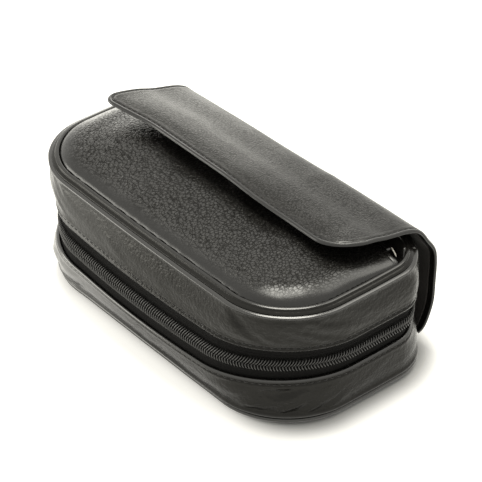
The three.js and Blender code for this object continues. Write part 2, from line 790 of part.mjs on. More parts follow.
// ---- Tool strap ----------------------------------------------------------------------------
// An elastic strap on the lining's floor, sewn down between its loops.
function toolStrap() {
  const floor = floorTop + lining + clearance;
  const foot = 5;
  const pitch = 2 * (strapLoopHalf + strapThickness) + foot;
  const start = -(strapLoops * pitch + foot) / 2;
  const outer = [new THREE.Vector2(start, strapThickness)];
  const inner = [new THREE.Vector2(start, 0)];
  for (let loop = 0; loop < strapLoops; loop += 1) {
    const middle = start + foot + loop * pitch + strapLoopHalf + strapThickness;
    for (let i = 0; i <= 8; i += 1) {
      const angle = Math.PI * (1 - i / 8);
      outer.push(new THREE.Vector2(
        middle + (strapLoopHalf + strapThickness) * Math.cos(angle),
        strapThickness + strapLoopHeight * Math.sin(angle) ** 0.8,
      ));
      inner.push(new THREE.Vector2(
        middle + strapLoopHalf * Math.cos(angle),
        strapLoopHeight * Math.sin(angle) ** 0.8,
      ));
    }
  }
  outer.push(new THREE.Vector2(-start, strapThickness));
  inner.push(new THREE.Vector2(-start, 0));
  const sections = [-1, 1].map((side) => {
    const place = (p) => new THREE.Vector3(p.x, strapPlace + side * strapWidth / 2, floor + p.y);
    return [...outer.map(place), ...inner.map(place).reverse()];
  });
  return loftStrip(sections);
}

// ---- The scene graph -----------------------------------------------------------------------
const finish = {
  leather: new THREE.MeshStandardMaterial({ color: 0x1f1d1b, roughness: 0.5 }),
  flapLeather: new THREE.MeshStandardMaterial({ color: 0x2a2826, roughness: 0.45 }),
  binding: new THREE.MeshStandardMaterial({ color: 0x191715, roughness: 0.4 }),
  lining: new THREE.MeshStandardMaterial({ color: 0x24211f, roughness: 0.9 }),
  board: new THREE.MeshStandardMaterial({ color: 0x6b5a45, roughness: 0.9 }),
  tape: new THREE.MeshStandardMaterial({ color: 0x141312, roughness: 0.85 }),
  coil: new THREE.MeshStandardMaterial({ color: 0x100f0f, roughness: 0.35 }),
  metal: new THREE.MeshStandardMaterial({ color: 0x3a3836, roughness: 0.3, metalness: 1 }),
  elastic: new THREE.MeshStandardMaterial({ color: 0x1a1918, roughness: 0.9 }),
};

function piece(name, geometry, material) {
  const mesh = new THREE.Mesh(geometry, material);
  mesh.name = name;
  return mesh;
}

function lowerShell() {
  const group = new THREE.Group();
  const shapeHeight = bindingHeight;
  const panelInset = bindingWidth + clearance;
  const boardBottom = leather + clearance;
  group.add(
    piece('back_panel', plate(0, leather, panelInset, shapeHeight), finish.leather),
    piece('back_board', plate(boardBottom, boardBottom + board, panelInset, shapeHeight), finish.board),
    piece('back_binding', binding(bindingHeight, 0.1), finish.binding),
    piece('base_band', zipSideBand(bindingHeight + clearance, lowerZipEdge), finish.leather),
    piece('base_rear_band', rearBand(bindingHeight + clearance, zipHeight - clearance), finish.leather),
    piece('base_lining', liningTray(floorTop, zipHeight - 3.8), finish.lining),
    piece('base_zip_tape', zipTape(-1), finish.tape),
    piece('base_zip_coil', zipCoil(-1), finish.coil),
    piece('tool_strap', toolStrap(), finish.elastic),
  );
  return group;
}

function upperShell() {
  const group = new THREE.Group();
  const boardBottom = frontBoardTop - board;
  const panelInset = leather + 2 * clearance;
  group.add(
    piece('front_panel', plate(frontPanelBottom, frontPanelTop, panelInset, rimSeam), finish.leather),
    piece('front_board', plate(boardBottom, frontBoardTop, panelInset + 1.5, rimSeam), finish.board),
    piece('front_pocket', frontPocket(), finish.leather),
    piece('pocket_edge', pocketEdge(), finish.binding),
    piece('front_binding', binding(rimSeam, caseHeight), finish.binding),
    piece('lid_band', zipSideBand(rimSeam - clearance, upperZipEdge), finish.leather),
    piece('lid_rear_band', rearBand(rimSeam - clearance, zipHeight + clearance), finish.leather),
    piece('lid_lining', liningTray(ceilingTop, zipHeight + 3.8), finish.lining),
    piece('lid_zip_tape', zipTape(1), finish.tape),
    piece('lid_zip_coil', zipCoil(1), finish.coil),
    piece('snap_stud', snapStud(), finish.metal),
  );
  return group;
}

function flap() {
  const group = new THREE.Group();
  const topStations = flapStations();
  const layer = {
    back: flapLayer(backStations, backShares, 0, flapLeather),
    backLining: flapLayer(backStations, backShares, liningDepth, flapLiningThickness, [hemShare, 0]),
    top: flapLayer(topStations, topShares, 0, flapLeather),
    topLining: flapLayer(topStations, topShares, liningDepth, flapLiningThickness, [0, hemShare]),
  };
  group.add(
    piece('flap_back', layer.back, finish.flapLeather),
    piece('flap_back_lining', layer.backLining, finish.lining),
    piece('flap_top', layer.top, finish.flapLeather),
    piece('flap_top_lining', layer.topLining, finish.lining),
    piece('snap_socket', snapSocket(), finish.metal),
  );
  return group;
}

function zipSlider() {
  const group = new THREE.Group();
  group.applyMatrix4(sliderFrame());
  group.add(
    piece('slider_body', sliderBody(), finish.metal),
    piece('slider_pull', sliderPull(), finish.metal),
  );
  return group;
}

const groomingCase = new THREE.Group();
groomingCase.add(lowerShell(), upperShell(), flap(), zipSlider());

export default groomingCase;
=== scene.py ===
"""A zipped black leather grooming case with a wrap-over flap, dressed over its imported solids.

Every surface is a function of two parameters, worked out as whole arrays in millimetres and put
into its mesh in metres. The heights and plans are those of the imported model.
"""

import math

import bpy
import numpy as np
from mathutils import Matrix, Vector


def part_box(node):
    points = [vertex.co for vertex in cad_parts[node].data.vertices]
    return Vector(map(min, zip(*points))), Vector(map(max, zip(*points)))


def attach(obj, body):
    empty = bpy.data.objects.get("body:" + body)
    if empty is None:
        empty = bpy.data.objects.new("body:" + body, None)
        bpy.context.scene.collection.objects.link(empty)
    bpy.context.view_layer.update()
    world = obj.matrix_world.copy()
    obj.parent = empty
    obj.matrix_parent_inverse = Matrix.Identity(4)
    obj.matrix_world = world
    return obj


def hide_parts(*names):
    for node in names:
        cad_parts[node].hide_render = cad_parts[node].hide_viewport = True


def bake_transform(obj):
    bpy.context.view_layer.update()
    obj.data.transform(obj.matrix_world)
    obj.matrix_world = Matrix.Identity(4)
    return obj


bl_info = {
    "name": "Zipped Leather Grooming Case",
    "version": (1, 0, 0),
    "blender": (4, 5, 0),
    "location": "View3D > Sidebar > Grooming Case",
    "description": "Builds the leather, zip, stitching and linings of a zipped grooming case",
    "category": "Object",
}

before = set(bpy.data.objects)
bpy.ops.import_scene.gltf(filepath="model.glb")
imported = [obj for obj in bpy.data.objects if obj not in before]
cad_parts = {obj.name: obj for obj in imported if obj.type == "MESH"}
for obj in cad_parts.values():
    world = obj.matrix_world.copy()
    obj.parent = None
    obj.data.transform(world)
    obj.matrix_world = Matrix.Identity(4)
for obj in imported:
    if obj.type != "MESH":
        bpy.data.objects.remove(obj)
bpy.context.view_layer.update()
MM = 0.001

# ---- The case's seams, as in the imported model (millimetres) ------------------------------------
CASE_HEIGHT = 60.0
BOTTOM_SEAM = 3.2
LOWER_ZIP_EDGE = 21.45
ZIP_LINE = 29.3
UPPER_ZIP_EDGE = 37.15
RIM_SEAM = 56.5
SEAM_HEIGHTS = np.array([BOTTOM_SEAM, LOWER_ZIP_EDGE, UPPER_ZIP_EDGE, RIM_SEAM])
HALF_LENGTHS = np.array([81.6, 82.4, 85.0, 84.0])
FRONTS = np.array([45.0, 46.2, 45.2, 45.0])
REARS = np.array([40.0, 43.8, 44.2, 35.2])
FRONT_CORNERS = np.array([33.0, 41.0, 39.0, 31.0])
REAR_CORNERS = np.array([20.5, 23.5, 23.5, 18.0])
BULGES = np.array([0.4, 7.2, 5.8, 1.3])
END_BULGE = 1.0
REAR_TURN_IN = 3.5
LEATHER = 1.4
BAND_SEAM = 2.1
BINDING_WIDTH = 4.0
CLEAR = 0.1
TAPE_OFFSET = -1.7
POCKET_MOUTH = 20.5
POCKET_EDGE = 56.9
SHOULDER_RISE = 4.7
SHOULDER_WIDTH = 11.0
CROWN_RISE = 2.4
CROWN_WIDTH = 38.0
MOUTH_FALL = 0.37
STRETCHES = np.array([0, 3, 11, 19, 27, 30, 35, 39, 44], float)
WHOLE_WALK = 44.0
ZIP_START = -3.2
ZIP_END = 33.2


# ---- Small number helpers ----------------------------------------------------------------------
def smooth(t):
    """Rises from 0 to 1 with level ends: three t squared less two t cubed."""
    t = np.clip(t, 0.0, 1.0)
    return t * t * (3.0 - 2.0 * t)


def ramp(x, start, length):
    """Rises smoothly from 0 at the start to 1 after the length."""
    return smooth((x - start) / length)


def bump_at(x, centre, width):
    """A bell that is 1 at the centre and falls away over the width."""
    return np.exp(-(((x - centre) / width) ** 2))


LATTICE = 64


def hills(u, v, seed, size_u, size_v):
    """Smooth random hills from -1 to 1: seeded numbers on a lattice, blended by the smooth step."""
    grid = np.random.default_rng(seed).uniform(-1.0, 1.0, (LATTICE, LATTICE))
    x, y = np.asarray(u) / size_u, np.asarray(v) / size_v
    i, j = np.floor(x).astype(int), np.floor(y).astype(int)
    s, t = smooth(x - i), smooth(y - j)
    i0, i1, j0, j1 = i % LATTICE, (i + 1) % LATTICE, j % LATTICE, (j + 1) % LATTICE
    low = grid[i0, j0] * (1 - s) + grid[i1, j0] * s
    high = grid[i0, j1] * (1 - s) + grid[i1, j1] * s
    return low * (1 - t) + high * t


def crowded(count, power):
    """Numbers from -1 to 1 that crowd at both ends."""
    t = np.linspace(0.0, 1.0, count)
    return -1 + 2 * (t + (smooth(t) - t) * power)


def quarter(t):
    """Rises from 0 to 1 as a quarter circle does, upright at its start and level at its end."""
    return np.sqrt(np.clip(1 - (1 - np.clip(t, 0, 1)) ** 2, 0, 1))


def full_turn(count):
    """Angles once round, without the last one, which is the first again."""
    return np.linspace(0, 2 * np.pi, count, endpoint=False)


def squared_off(wave, power):
    """A sine or cosine made boxier by a power below 1."""
    return np.sign(wave) * np.abs(wave) ** power


def unit(vectors):
    """Vectors of length 1 with the same directions."""
    return vectors / np.linalg.norm(vectors, axis=-1, keepdims=True)


def distances(points):
    """How far each point of a path lies from its first, along the path."""
    return np.concatenate([[0.0], np.cumsum(np.linalg.norm(np.diff(points, axis=0), axis=1))])


def double(values):
    """The numbers of a shell's outer points, given again for the inner points behind them."""
    return np.concatenate([values.ravel(), values.ravel()])


# ---- The wall of the case ----------------------------------------------------------------------
def outline(walk, z):
    """A point of the plan outline. The walk runs from the left rear corner along the left end, the
    zip side and the right end, and back along the rear, in straight stretches and quarter circles.
    The zip side swells at its middle, and each end swells a little."""
    z = np.asarray(z, float)
    walk = np.mod(np.asarray(walk, float), WHOLE_WALK)
    length = np.interp(z, SEAM_HEIGHTS, HALF_LENGTHS)
    front = np.interp(z, SEAM_HEIGHTS, FRONTS)
    rear = np.interp(z, SEAM_HEIGHTS, REARS)
    late = np.clip((z - UPPER_ZIP_EDGE) / (RIM_SEAM - UPPER_ZIP_EDGE), 0, 1) ** REAR_TURN_IN
    rear = np.where(z > UPPER_ZIP_EDGE, REARS[2] + (REARS[3] - REARS[2]) * late, rear)
    rf = np.interp(z, SEAM_HEIGHTS, FRONT_CORNERS)
    rr = np.interp(z, SEAM_HEIGHTS, REAR_CORNERS)
    bulge = np.interp(z, SEAM_HEIGHTS, BULGES)
    place = np.clip(np.searchsorted(STRETCHES, walk, side="right") - 1, 0, 7)
    t = (walk - STRETCHES[place]) / (STRETCHES[place + 1] - STRETCHES[place])
    turn = np.pi / 2 * t
    sides = [
        (-length, (rear - rr) + (rf - front - rear + rr) * t),
        (rf - length - rf * np.cos(turn), rf - front - rf * np.sin(turn)),
        ((rf - length) * (1 - 2 * t), -front + 0 * t),
        (length - rf + rf * np.sin(turn), rf - front - rf * np.cos(turn)),
        (length, (rf - front) + (rear - rr - rf + front) * t),
        (length - rr + rr * np.cos(turn), rear - rr + rr * np.sin(turn)),
        ((length - rr) * (1 - 2 * t), rear + 0 * t),
        (rr - length - rr * np.sin(turn), rear - rr + rr * np.cos(turn)),
    ]
    x, y = (np.choose(place, [side[axis] + 0 * t for side in sides]) for axis in (0, 1))
    forward = np.maximum(-y / front, 0)
    across = (y - (rear - front) / 2) / ((rear + front) / 2)
    share = (x / length) ** 2
    x = x + END_BULGE * (1 - across**2) * share * np.sign(x)
    return x, y - bulge * forward * (1 - share)


def hump(walk, start, end):
    """0 outside start..end and a rounded rise to 1 halfway: the sine squared. Walks may wrap."""
    t = np.mod(walk - start, WHOLE_WALK) / (end - start)
    return np.where(t < 1, np.sin(np.pi * np.clip(t, 0, 1)) ** 2, 0.0)


# Where the soft wall leaves its plan: the walks between which it does, heights, and how far.
RIM_SWELL = (40.0, 54.0), [0, ZIP_LINE, 37, 45, 53, 58, 61], [0, 0, 0.4, 1.6, 2.0, 0.9, 0.7]
FOOT_SWELL = (1.6, 12.0), [0, 3, 8, 14, 21.4, 27], [1.0, 1.8, 3.6, 4.2, 2.6, 0.4]
DRAWN_WALKS = ((29.6, 35.4), (38.6, 44.4))
DRAWN_HEIGHTS = [3, 8, 14, 21.4, 29, 37, 46, 52, 56.5]
DRAWN_IN = [0, -0.5, -1.8, -4.0, -4.4, -4.6, -4.8, -3.5, -0.3]
SLACK = (RIM_SWELL, FOOT_SWELL, *((span, DRAWN_HEIGHTS, DRAWN_IN) for span in DRAWN_WALKS))


def slack(walk, z):
    """How far the soft wall stands out from its plan: it swells at the left end's rim and at the
    lower left corner, and is drawn in at the two rear corners, between their seams."""
    return sum(hump(walk, *span) * np.interp(z, heights, outs) for span, heights, outs in SLACK)


SINK_START = 20.0
SUNK_IN = 1.6
SUNK_DOWN = 2.3


def leftward(x, reach):
    """0 right of where the sinking starts, and rising to 1 over the reach towards the left."""
    return np.clip((SINK_START - x) / reach, 0, 1) ** 0.75


def settle(points):
    """The lid's rear edge has sunk towards the left: lower and further in, near its top only."""
    x, y, z = points[..., 0], points[..., 1], points[..., 2]
    sunk = leftward(x, 90) * ramp(y, 2, 30) * ramp(z, 40, 14)
    return points - np.stack([0 * x, SUNK_IN * sunk, SUNK_DOWN * sunk], -1)


WALK_STEP = 0.05
FINE_STEPS = 2400


def wall(walk, z, out):
    """A point that lies `out` outwards from the wall, square to it as seen from above."""
    walk, z, out = np.broadcast_arrays(*(np.asarray(a, float) for a in (walk, z, out)))
    out = out + slack(walk, z)
    x, y = outline(walk, z)
    ax, ay = outline(walk - WALK_STEP, z)
    bx, by = outline(walk + WALK_STEP, z)
    dx, dy = bx - ax, by - ay
    size = np.hypot(dx, dy)
    return settle(np.stack([x + dy / size * out, y - dx / size * out, z], -1))


def even_walks(count, start, end, z=ZIP_LINE):
    """Walks from start to end whose points on the wall lie evenly along it, and their distances."""
    fine = np.linspace(start, end, FINE_STEPS)
    along = distances(wall(fine, z, 0.0))
    places = np.linspace(0.0, along[-1], count)
    return np.interp(places, along, fine), places


def whole_round(count, z):
    """Walks once round the case, without the last one, which is the first again."""
    walks, along = even_walks(count + 1, 0.0, WHOLE_WALK, z)
    return walks[:-1], along[:-1]


# ---- Meshes ------------------------------------------------------------------------------------
def grid_faces(rows, columns, wrap_rows=False, wrap_columns=False):
    """Four-cornered faces over a grid of points, which may close on itself either way."""
    starts = np.arange(rows - (not wrap_rows)), np.arange(columns - (not wrap_columns))
    i, j = (index.ravel() for index in np.meshgrid(*starts, indexing="ij"))
    i1, j1 = (i + 1) % rows, (j + 1) % columns
    return np.stack([i * columns + j, i1 * columns + j, i1 * columns + j1, i * columns + j1], 1)


def border_of(rows, columns):
    """Indices of a grid's border points, once round."""
    index = np.arange(rows * columns).reshape(rows, columns)
    return np.concatenate([index[0, :-1], index[:-1, -1], index[-1, :0:-1], index[:0:-1, 0]])


def closed_faces(rows, columns):
    """Faces of a shell of two like grids, an outer and an inner one, joined at their borders."""
    front, count = grid_faces(rows, columns), rows * columns
    edge = border_of(rows, columns)
    after = np.roll(edge, -1)
    sides = np.stack([edge, after, after + count, edge + count], 1)
    return np.concatenate([front, front[:, ::-1] + count, sides])


def volume_of(points, faces):
    """Six times the signed volume of a closed mesh, by its corners' triple products."""
    total = 0.0
    for k in range(1, faces.shape[1] - 1):
        a, b, c = points[faces[:, 0]], points[faces[:, k]], points[faces[:, k + 1]]
        total += np.einsum("ij,ij->i", a, np.cross(b, c)).sum()
    return total


def new_piece(name, points, faces, material, uv=None, marks=None):
    """Puts arrays into a new object: points in millimetres, lists of faces with three or four
    corners, a UV map in millimetres, kept in metres, and named numbers for each point. Closed
    meshes are turned to face outwards."""
    points = np.asarray(points, float).reshape(-1, 3)
    centre = points.mean(0)
    if sum(volume_of(points - centre, f) for f in faces) < 0:
        faces = [f[:, ::-1] for f in faces]
    mesh = bpy.data.meshes.new(name)
    mesh.from_pydata((points * MM).tolist(), [], [corner for f in faces for corner in f.tolist()])
    mesh.polygons.foreach_set("use_smooth", np.ones(len(mesh.polygons), bool))
    if uv is not None:
        layer = mesh.uv_layers.new(name="pattern")
        index = np.empty(len(mesh.loops), np.int32)
        mesh.loops.foreach_get("vertex_index", index)
        layer.data.foreach_set("uv", (np.asarray(uv, float).reshape(-1, 2) * MM)[index].ravel())
    for mark, values in (marks or {}).items():
        attribute = mesh.attributes.new(mark, "FLOAT", "POINT")
        attribute.data.foreach_set("value", np.asarray(values, np.float32).ravel())
    mesh.materials.append(material)
    piece = bpy.data.objects.new(name, mesh)
    bpy.context.scene.collection.objects.link(piece)
    return piece


def ladder(start, count):
    """Faces that close a thin section, whose points go along one side and back along the other."""
    i = np.arange(count // 2 - 1)
    return start + np.stack([i, i + 1, count - 2 - i, count - 1 - i], 1)


def strip_piece(name, sections, material, uv=None, marks=None, ring=False):
    """A closed body through a row of sections, each of them a closed loop of points."""
    rows, count = sections.shape[:2]
    faces = [grid_faces(rows, count, ring, True)]
    if not ring:
        faces += [ladder(0, count), ladder((rows - 1) * count, count)[:, ::-1]]
    return new_piece(name, sections, faces, material, uv, marks)


def section_uv(sections, along):
    """A UV map whose U is the distance along the strip and whose V is the way round the section."""
    steps = np.linalg.norm(np.diff(sections, axis=1), axis=2).mean(0)
    round_it = np.concatenate([[0.0], np.cumsum(steps)])
    return np.stack(np.meshgrid(along, round_it, indexing="ij"), -1)


def tube_faces(rings, sides, count):
    """Faces of a number of like tubes, one after another, each with both of its ends closed."""
    fan = np.array([[0, k, k + 1] for k in range(1, sides - 1)])
    caps = np.concatenate([fan, fan[:, ::-1] + (rings - 1) * sides])
    shift = (np.arange(count) * rings * sides)[:, None, None]
    return [(part[None] + shift).reshape(-1, part.shape[1])
            for part in (grid_faces(rings, sides, False, True), caps)]


BLUNT_TIP = 0.06
TURN_LEVEL = 0.75


def capsules(name, starts, ends, normals, width, height, material, sides=6, rings=5):
    """Short threads: each is an ellipse carried from its start to its end, thinner at both tips
    and arched along its normal. Width lies across the seam and height along the normal."""
    t = np.linspace(0.0, 1.0, rings)
    fat = np.sqrt(np.clip(1 - (2 * t - 1) ** 4, BLUNT_TIP, 1))
    way = ends - starts
    across = unit(np.cross(unit(way), normals))
    angle = full_turn(sides)
    arch = normals[:, None] * (height * (fat - TURN_LEVEL))[:, None]
    middle = starts[:, None] + way[:, None] * t[:, None] + arch
    loops = (
        middle[:, :, None]
        + across[:, None, None] * (width / 2 * fat[:, None] * np.cos(angle))[..., None]
        + normals[:, None, None] * (height / 2 * fat[:, None] * np.sin(angle))[..., None]
    )
    return new_piece(name, loops, tube_faces(rings, sides, len(starts)), material)


# ---- Materials ---------------------------------------------------------------------------------
class Term:
    """A number that comes out of a node. Arithmetic on it adds Math nodes."""

    def __init__(self, shop, socket):
        self.shop, self.socket = shop, socket

    def _with(self, operation, *others, clamp=False):
        settings = {"operation": operation, "use_clamp": clamp}
        return self.shop.node("ShaderNodeMath", settings, dict(enumerate(others)))

    def __add__(self, other):
        return self._with("ADD", self, other)

    def __sub__(self, other):
        return self._with("SUBTRACT", self, other)

    def __rsub__(self, other):
        return self._with("SUBTRACT", other, self)

    def __mul__(self, other):
        return self._with("MULTIPLY", self, other)

    def __pow__(self, other):
        return self._with("POWER", self, other)

    __radd__ = __add__
    __rmul__ = __mul__

    def clamped(self):
        return self._with("ADD", self, 0.0, clamp=True)

    def sine(self):
        return self._with("SINE", self)

    def between(self, low, high):
        """0 below low, 1 above high and smooth in between."""
        settings = {"interpolation_type": "SMOOTHSTEP"}
        sockets = {"Value": self, "From Min": low, "From Max": high}
        return self.shop.node("ShaderNodeMapRange", settings, sockets, "Result")


RAY_KINDS = ("Camera", "Glossy", "Transmission")
COLOUR_PARTS = 4
CELL_SMOOTHING = 0.3


class Shop:
    """Adds nodes to one node tree."""

    def __init__(self, tree):
        self.tree = tree

    def node(self, kind, settings, sockets, out=0):
        """One node: its settings are set first, then the values or links of its sockets."""
        made = self.tree.nodes.new(kind)
        for key, value in settings.items():
            setattr(made, key, value)
        for key, value in sockets.items():
            self.feed(made.inputs[key], value)
        return Term(self, made.outputs[out])

    def feed(self, socket, value):
        """Links a term to a socket or sets its value; a colour of three parts gets a fourth."""
        if isinstance(value, Term):
            self.tree.links.new(value.socket, socket)
        elif socket.type == "RGBA" and len(value) < COLOUR_PARTS:
            socket.default_value = (*value, 1.0)
        else:
            socket.default_value = value

    def place(self):
        return self.node("ShaderNodeTexCoord", {}, {}, "Object")

    def split(self, vector):
        first = self.node("ShaderNodeSeparateXYZ", {}, {0: vector}, "X")
        return [Term(self, first.socket.node.outputs[axis]) for axis in "XYZ"]

    def map(self):
        return self.node("ShaderNodeUVMap", {"uv_map": "pattern"}, {}, "UV")

    def mark(self, name):
        return self.node("ShaderNodeAttribute", {"attribute_name": name}, {}, "Fac")

    def seen_rays(self):
        """1 or 0 for a ray from the camera, for a reflected one and for one through glass."""
        return [self.node("ShaderNodeLightPath", {}, {}, f"Is {kind} Ray") for kind in RAY_KINDS]

    def stretched(self, vector, scale):
        return self.node("ShaderNodeMapping", {}, {"Vector": vector, "Scale": scale}, "Vector")

    def noise(self, vector, scale, detail=2.0, roughness=0.5, out="Fac"):
        sockets = {"Vector": vector, "Scale": scale, "Detail": detail, "Roughness": roughness}
        return self.node("ShaderNodeTexNoise", {}, sockets, out)

    def warped(self, vector, scale, amount):
        """The vector shifted by a noise, at most by about half the amount each way."""
        sockets = {0: self.noise(vector, scale, out="Color"), "Scale": amount}
        push = self.node("ShaderNodeVectorMath", {"operation": "SCALE"}, sockets, "Vector")
        return self.node("ShaderNodeVectorMath", {"operation": "ADD"}, {0: vector, 1: push}, "Vector")

    def creases(self, vector, scale):
        """How far a place lies from the border between two random cells."""
        settings, sockets = {"feature": "DISTANCE_TO_EDGE"}, {"Vector": vector, "Scale": scale}
        return self.node("ShaderNodeTexVoronoi", settings, sockets, "Distance")

    def pebbles(self, vector, scale):
        """Random rounded cells, 1 at their middles and lower outwards."""
        sockets = {"Vector": vector, "Scale": scale, "Smoothness": CELL_SMOOTHING}
        return 1.0 - self.node("ShaderNodeTexVoronoi", {"feature": "SMOOTH_F1"}, sockets, "Distance")

    def blend(self, factor, first, second):
        """A colour between two, by the node's sockets and output for colours."""
        sockets = {0: factor, 6: first, 7: second}
        return self.node("ShaderNodeMix", {"data_type": "RGBA"}, sockets, 2)

    def relief(self, height, depth):
        """Bends the shading normal by a height from 0 to 1 that stands for a depth in metres."""
        sockets = {"Height": height, "Distance": depth, "Strength": 1.0}
        return self.node("ShaderNodeBump", {}, sockets, "Normal")


class Finish(Shop):
    """Builds one material's nodes round a Principled shader."""

    def __init__(self, name, **constants):
        self.material = bpy.data.materials.new(name)
        self.material.use_nodes = True
        super().__init__(self.material.node_tree)
        self.shader = self.tree.nodes["Principled BSDF"]
        self.set(**constants)

    def set(self, **sockets):
        """Sets or links the shader's sockets; an underscore in a name stands for a space."""
        for key, value in sockets.items():
            self.feed(self.shader.inputs[key.replace("_", " ")], value)


def scaled(colour, share):
    """A colour made darker or lighter, up to white."""
    return tuple(min(part * share, 1.0) for part in colour)


HIDE = {"IOR": 1.5, "Specular_Tint": (1.0, 0.99, 0.94)}
PORE_HEIGHT = 0.03
WORN = 1.6


def leather_finish(name, colour, grain, depth, gloss, coat, level=0.2):
    """Pebbled leather: rounded cells parted by creases, with fine pores, in a colour that is worn
    lighter on the cells' tops and painted darker in the creases as shade. The point attribute
    `grain` fades the cells where the hide is pulled smooth."""
    finish = Finish(name, Specular_IOR_Level=level, Coat_Roughness=0.24, **HIDE)
    at = finish.stretched(finish.warped(finish.place(), 260.0, 0.0016), (1.0, 0.72, 1.0))
    stretch = finish.mark("grain")
    cell = finish.pebbles(at, 1.0 / grain)
    crease = finish.creases(at, 1.0 / grain).between(0.02, 0.22)
    small = finish.pebbles(at, 2.1 / grain)
    pores = finish.noise(finish.place(), 3.2 / grain, 3.0, 0.6)
    patches = finish.noise(finish.place(), 28.0)
    cover = (cell * 0.55 + crease * 0.3 + small * 0.35) * stretch
    finish.set(Normal=finish.relief(cover + pores * PORE_HEIGHT, depth))
    # Painted shade: the colour darkens in the creases, while the cells' tops are worn lighter.
    tone = (crease * 0.5 + cell * 0.5) * (patches * 0.5 + 0.75) * stretch
    finish.set(Base_Color=finish.blend(tone.clamped(), scaled(colour, 0.62), scaled(colour, WORN)))
    finish.set(Roughness=(pores * 0.16 + patches * 0.12 + (gloss - 0.14)).clamped())
    polish = crease * (cell * 0.6 + 0.4) * stretch * coat
    finish.set(Coat_Weight=(polish + (1.0 - stretch)).clamped())
    return finish.material


def smooth_leather_finish(name, colour, gloss, depth):
    """Tight, nearly smooth leather: faint cells, long pull lines and pores. The point attribute
    `grain` fades the cells and lines towards turned edges."""
    finish = Finish(name, Specular_IOR_Level=0.25, Coat_Roughness=0.16, Coat_IOR=1.75, **HIDE)
    place = finish.place()
    at = finish.warped(place, 200.0, 0.002)
    faint = finish.pebbles(at, 760.0)
    pulls = finish.noise(finish.stretched(at, (1.0, 1.0, 2.4)), 240.0, 3.0, 0.6)
    pores = finish.noise(place, 2600.0)
    patches = finish.noise(place, 34.0)
    stretch = finish.mark("grain")
    folds = (faint * 0.3 + pulls * 0.7) * stretch
    finish.set(Coat_Weight=(1.0 - stretch) * 0.8)
    finish.set(Normal=finish.relief(folds + pores * 0.02, depth))
    tone = (pulls * 0.6 + patches * 0.5).clamped()
    finish.set(Base_Color=finish.blend(tone, colour, scaled(colour, 1.5)))
    finish.set(Roughness=(pores * 0.12 + pulls * 0.16 + (gloss - 0.14)).clamped())
    return finish.material


def woven_finish(name, colour, rib, across=1.0, depth=0.0002, level=0.4, sheen=0.1):
    """Woven tape or lining: warp ribs along the piece and weft picks across it, on its UV map."""
    finish = Finish(name, Specular_IOR_Level=level, Sheen_Weight=sheen, Sheen_Roughness=0.5)
    u, v, _ = finish.split(finish.map())
    warp = (v * (2 * math.pi / rib)).sine() * 0.5 + 0.5
    weft = ((u * (2 * math.pi / (rib * across))) + (v * (math.pi / rib))).sine() * 0.5 + 0.5
    fuzz = finish.noise(finish.place(), 1800.0, 3.0)
    finish.set(Normal=finish.relief(warp * 0.5 + weft * 0.4 + fuzz * 0.3, depth))
    tone = (warp * weft * 0.8 + fuzz * 0.3).clamped()
    finish.set(Base_Color=finish.blend(tone, colour, scaled(colour, 1.9)))
    finish.set(Roughness=(fuzz * 0.2 + 0.65).clamped())
    return finish.material


def thread_finish(name, colour, gloss=0.5):
    """Twisted sewing thread: slanted plies and fuzz."""
    finish = Finish(name, Sheen_Weight=0.2)
    place = finish.place()
    plies = finish.noise(finish.stretched(place, (1.0, 1.0, 1.6)), 3400.0, 1.0)
    fuzz = finish.noise(place, 900.0)
    finish.set(Normal=finish.relief(plies, 0.0001))
    finish.set(Base_Color=finish.blend(plies * 0.7 + fuzz * 0.3, colour, scaled(colour, 1.6)))
    finish.set(Roughness=fuzz * 0.2 + (gloss - 0.1))
    return finish.material


def coil_finish(name, colour):
    """Nylon coil: smooth dark plastic with a cloudy polish and fine draw lines."""
    finish = Finish(name, IOR=1.6)
    place = finish.place()
    clouds = finish.noise(place, 300.0)
    lines = finish.noise(place, 4200.0, 1.0)
    finish.set(Normal=finish.relief(lines, 0.00004))
    finish.set(Base_Color=finish.blend(clouds, colour, scaled(colour, 1.8)))
    finish.set(Roughness=clouds * 0.14 + 0.2)
    return finish.material


def metal_finish(name, colour):
    """Dark plated metal: brushed lines, a few dull patches and lighter worn spots."""
    finish = Finish(name, Metallic=1.0)
    place = finish.place()
    brushed = finish.noise(finish.stretched(place, (1.0, 0.08, 1.0)), 5200.0)
    patches = finish.noise(place, 420.0)
    finish.set(Normal=finish.relief(brushed, 0.00003))
    finish.set(Base_Color=finish.blend(patches, colour, scaled(colour, 1.5)))
    finish.set(Roughness=brushed * 0.14 + patches * 0.16 + 0.16)
    return finish.material


def board_finish(name, colour):
    """Pressed stiffening board: flecks and fibres."""
    finish = Finish(name)
    place = finish.place()
    flecks = finish.noise(place, 900.0, 4.0, 0.7)
    fibres = finish.noise(finish.stretched(place, (0.15, 1.0, 1.0)), 1400.0)
    finish.set(Normal=finish.relief(flecks * 0.6 + fibres * 0.4, 0.00012))
    finish.set(Base_Color=finish.blend(flecks, scaled(colour, 0.6), colour))
    finish.set(Roughness=fibres * 0.2 + 0.7)
    return finish.material


FINISHES = {}


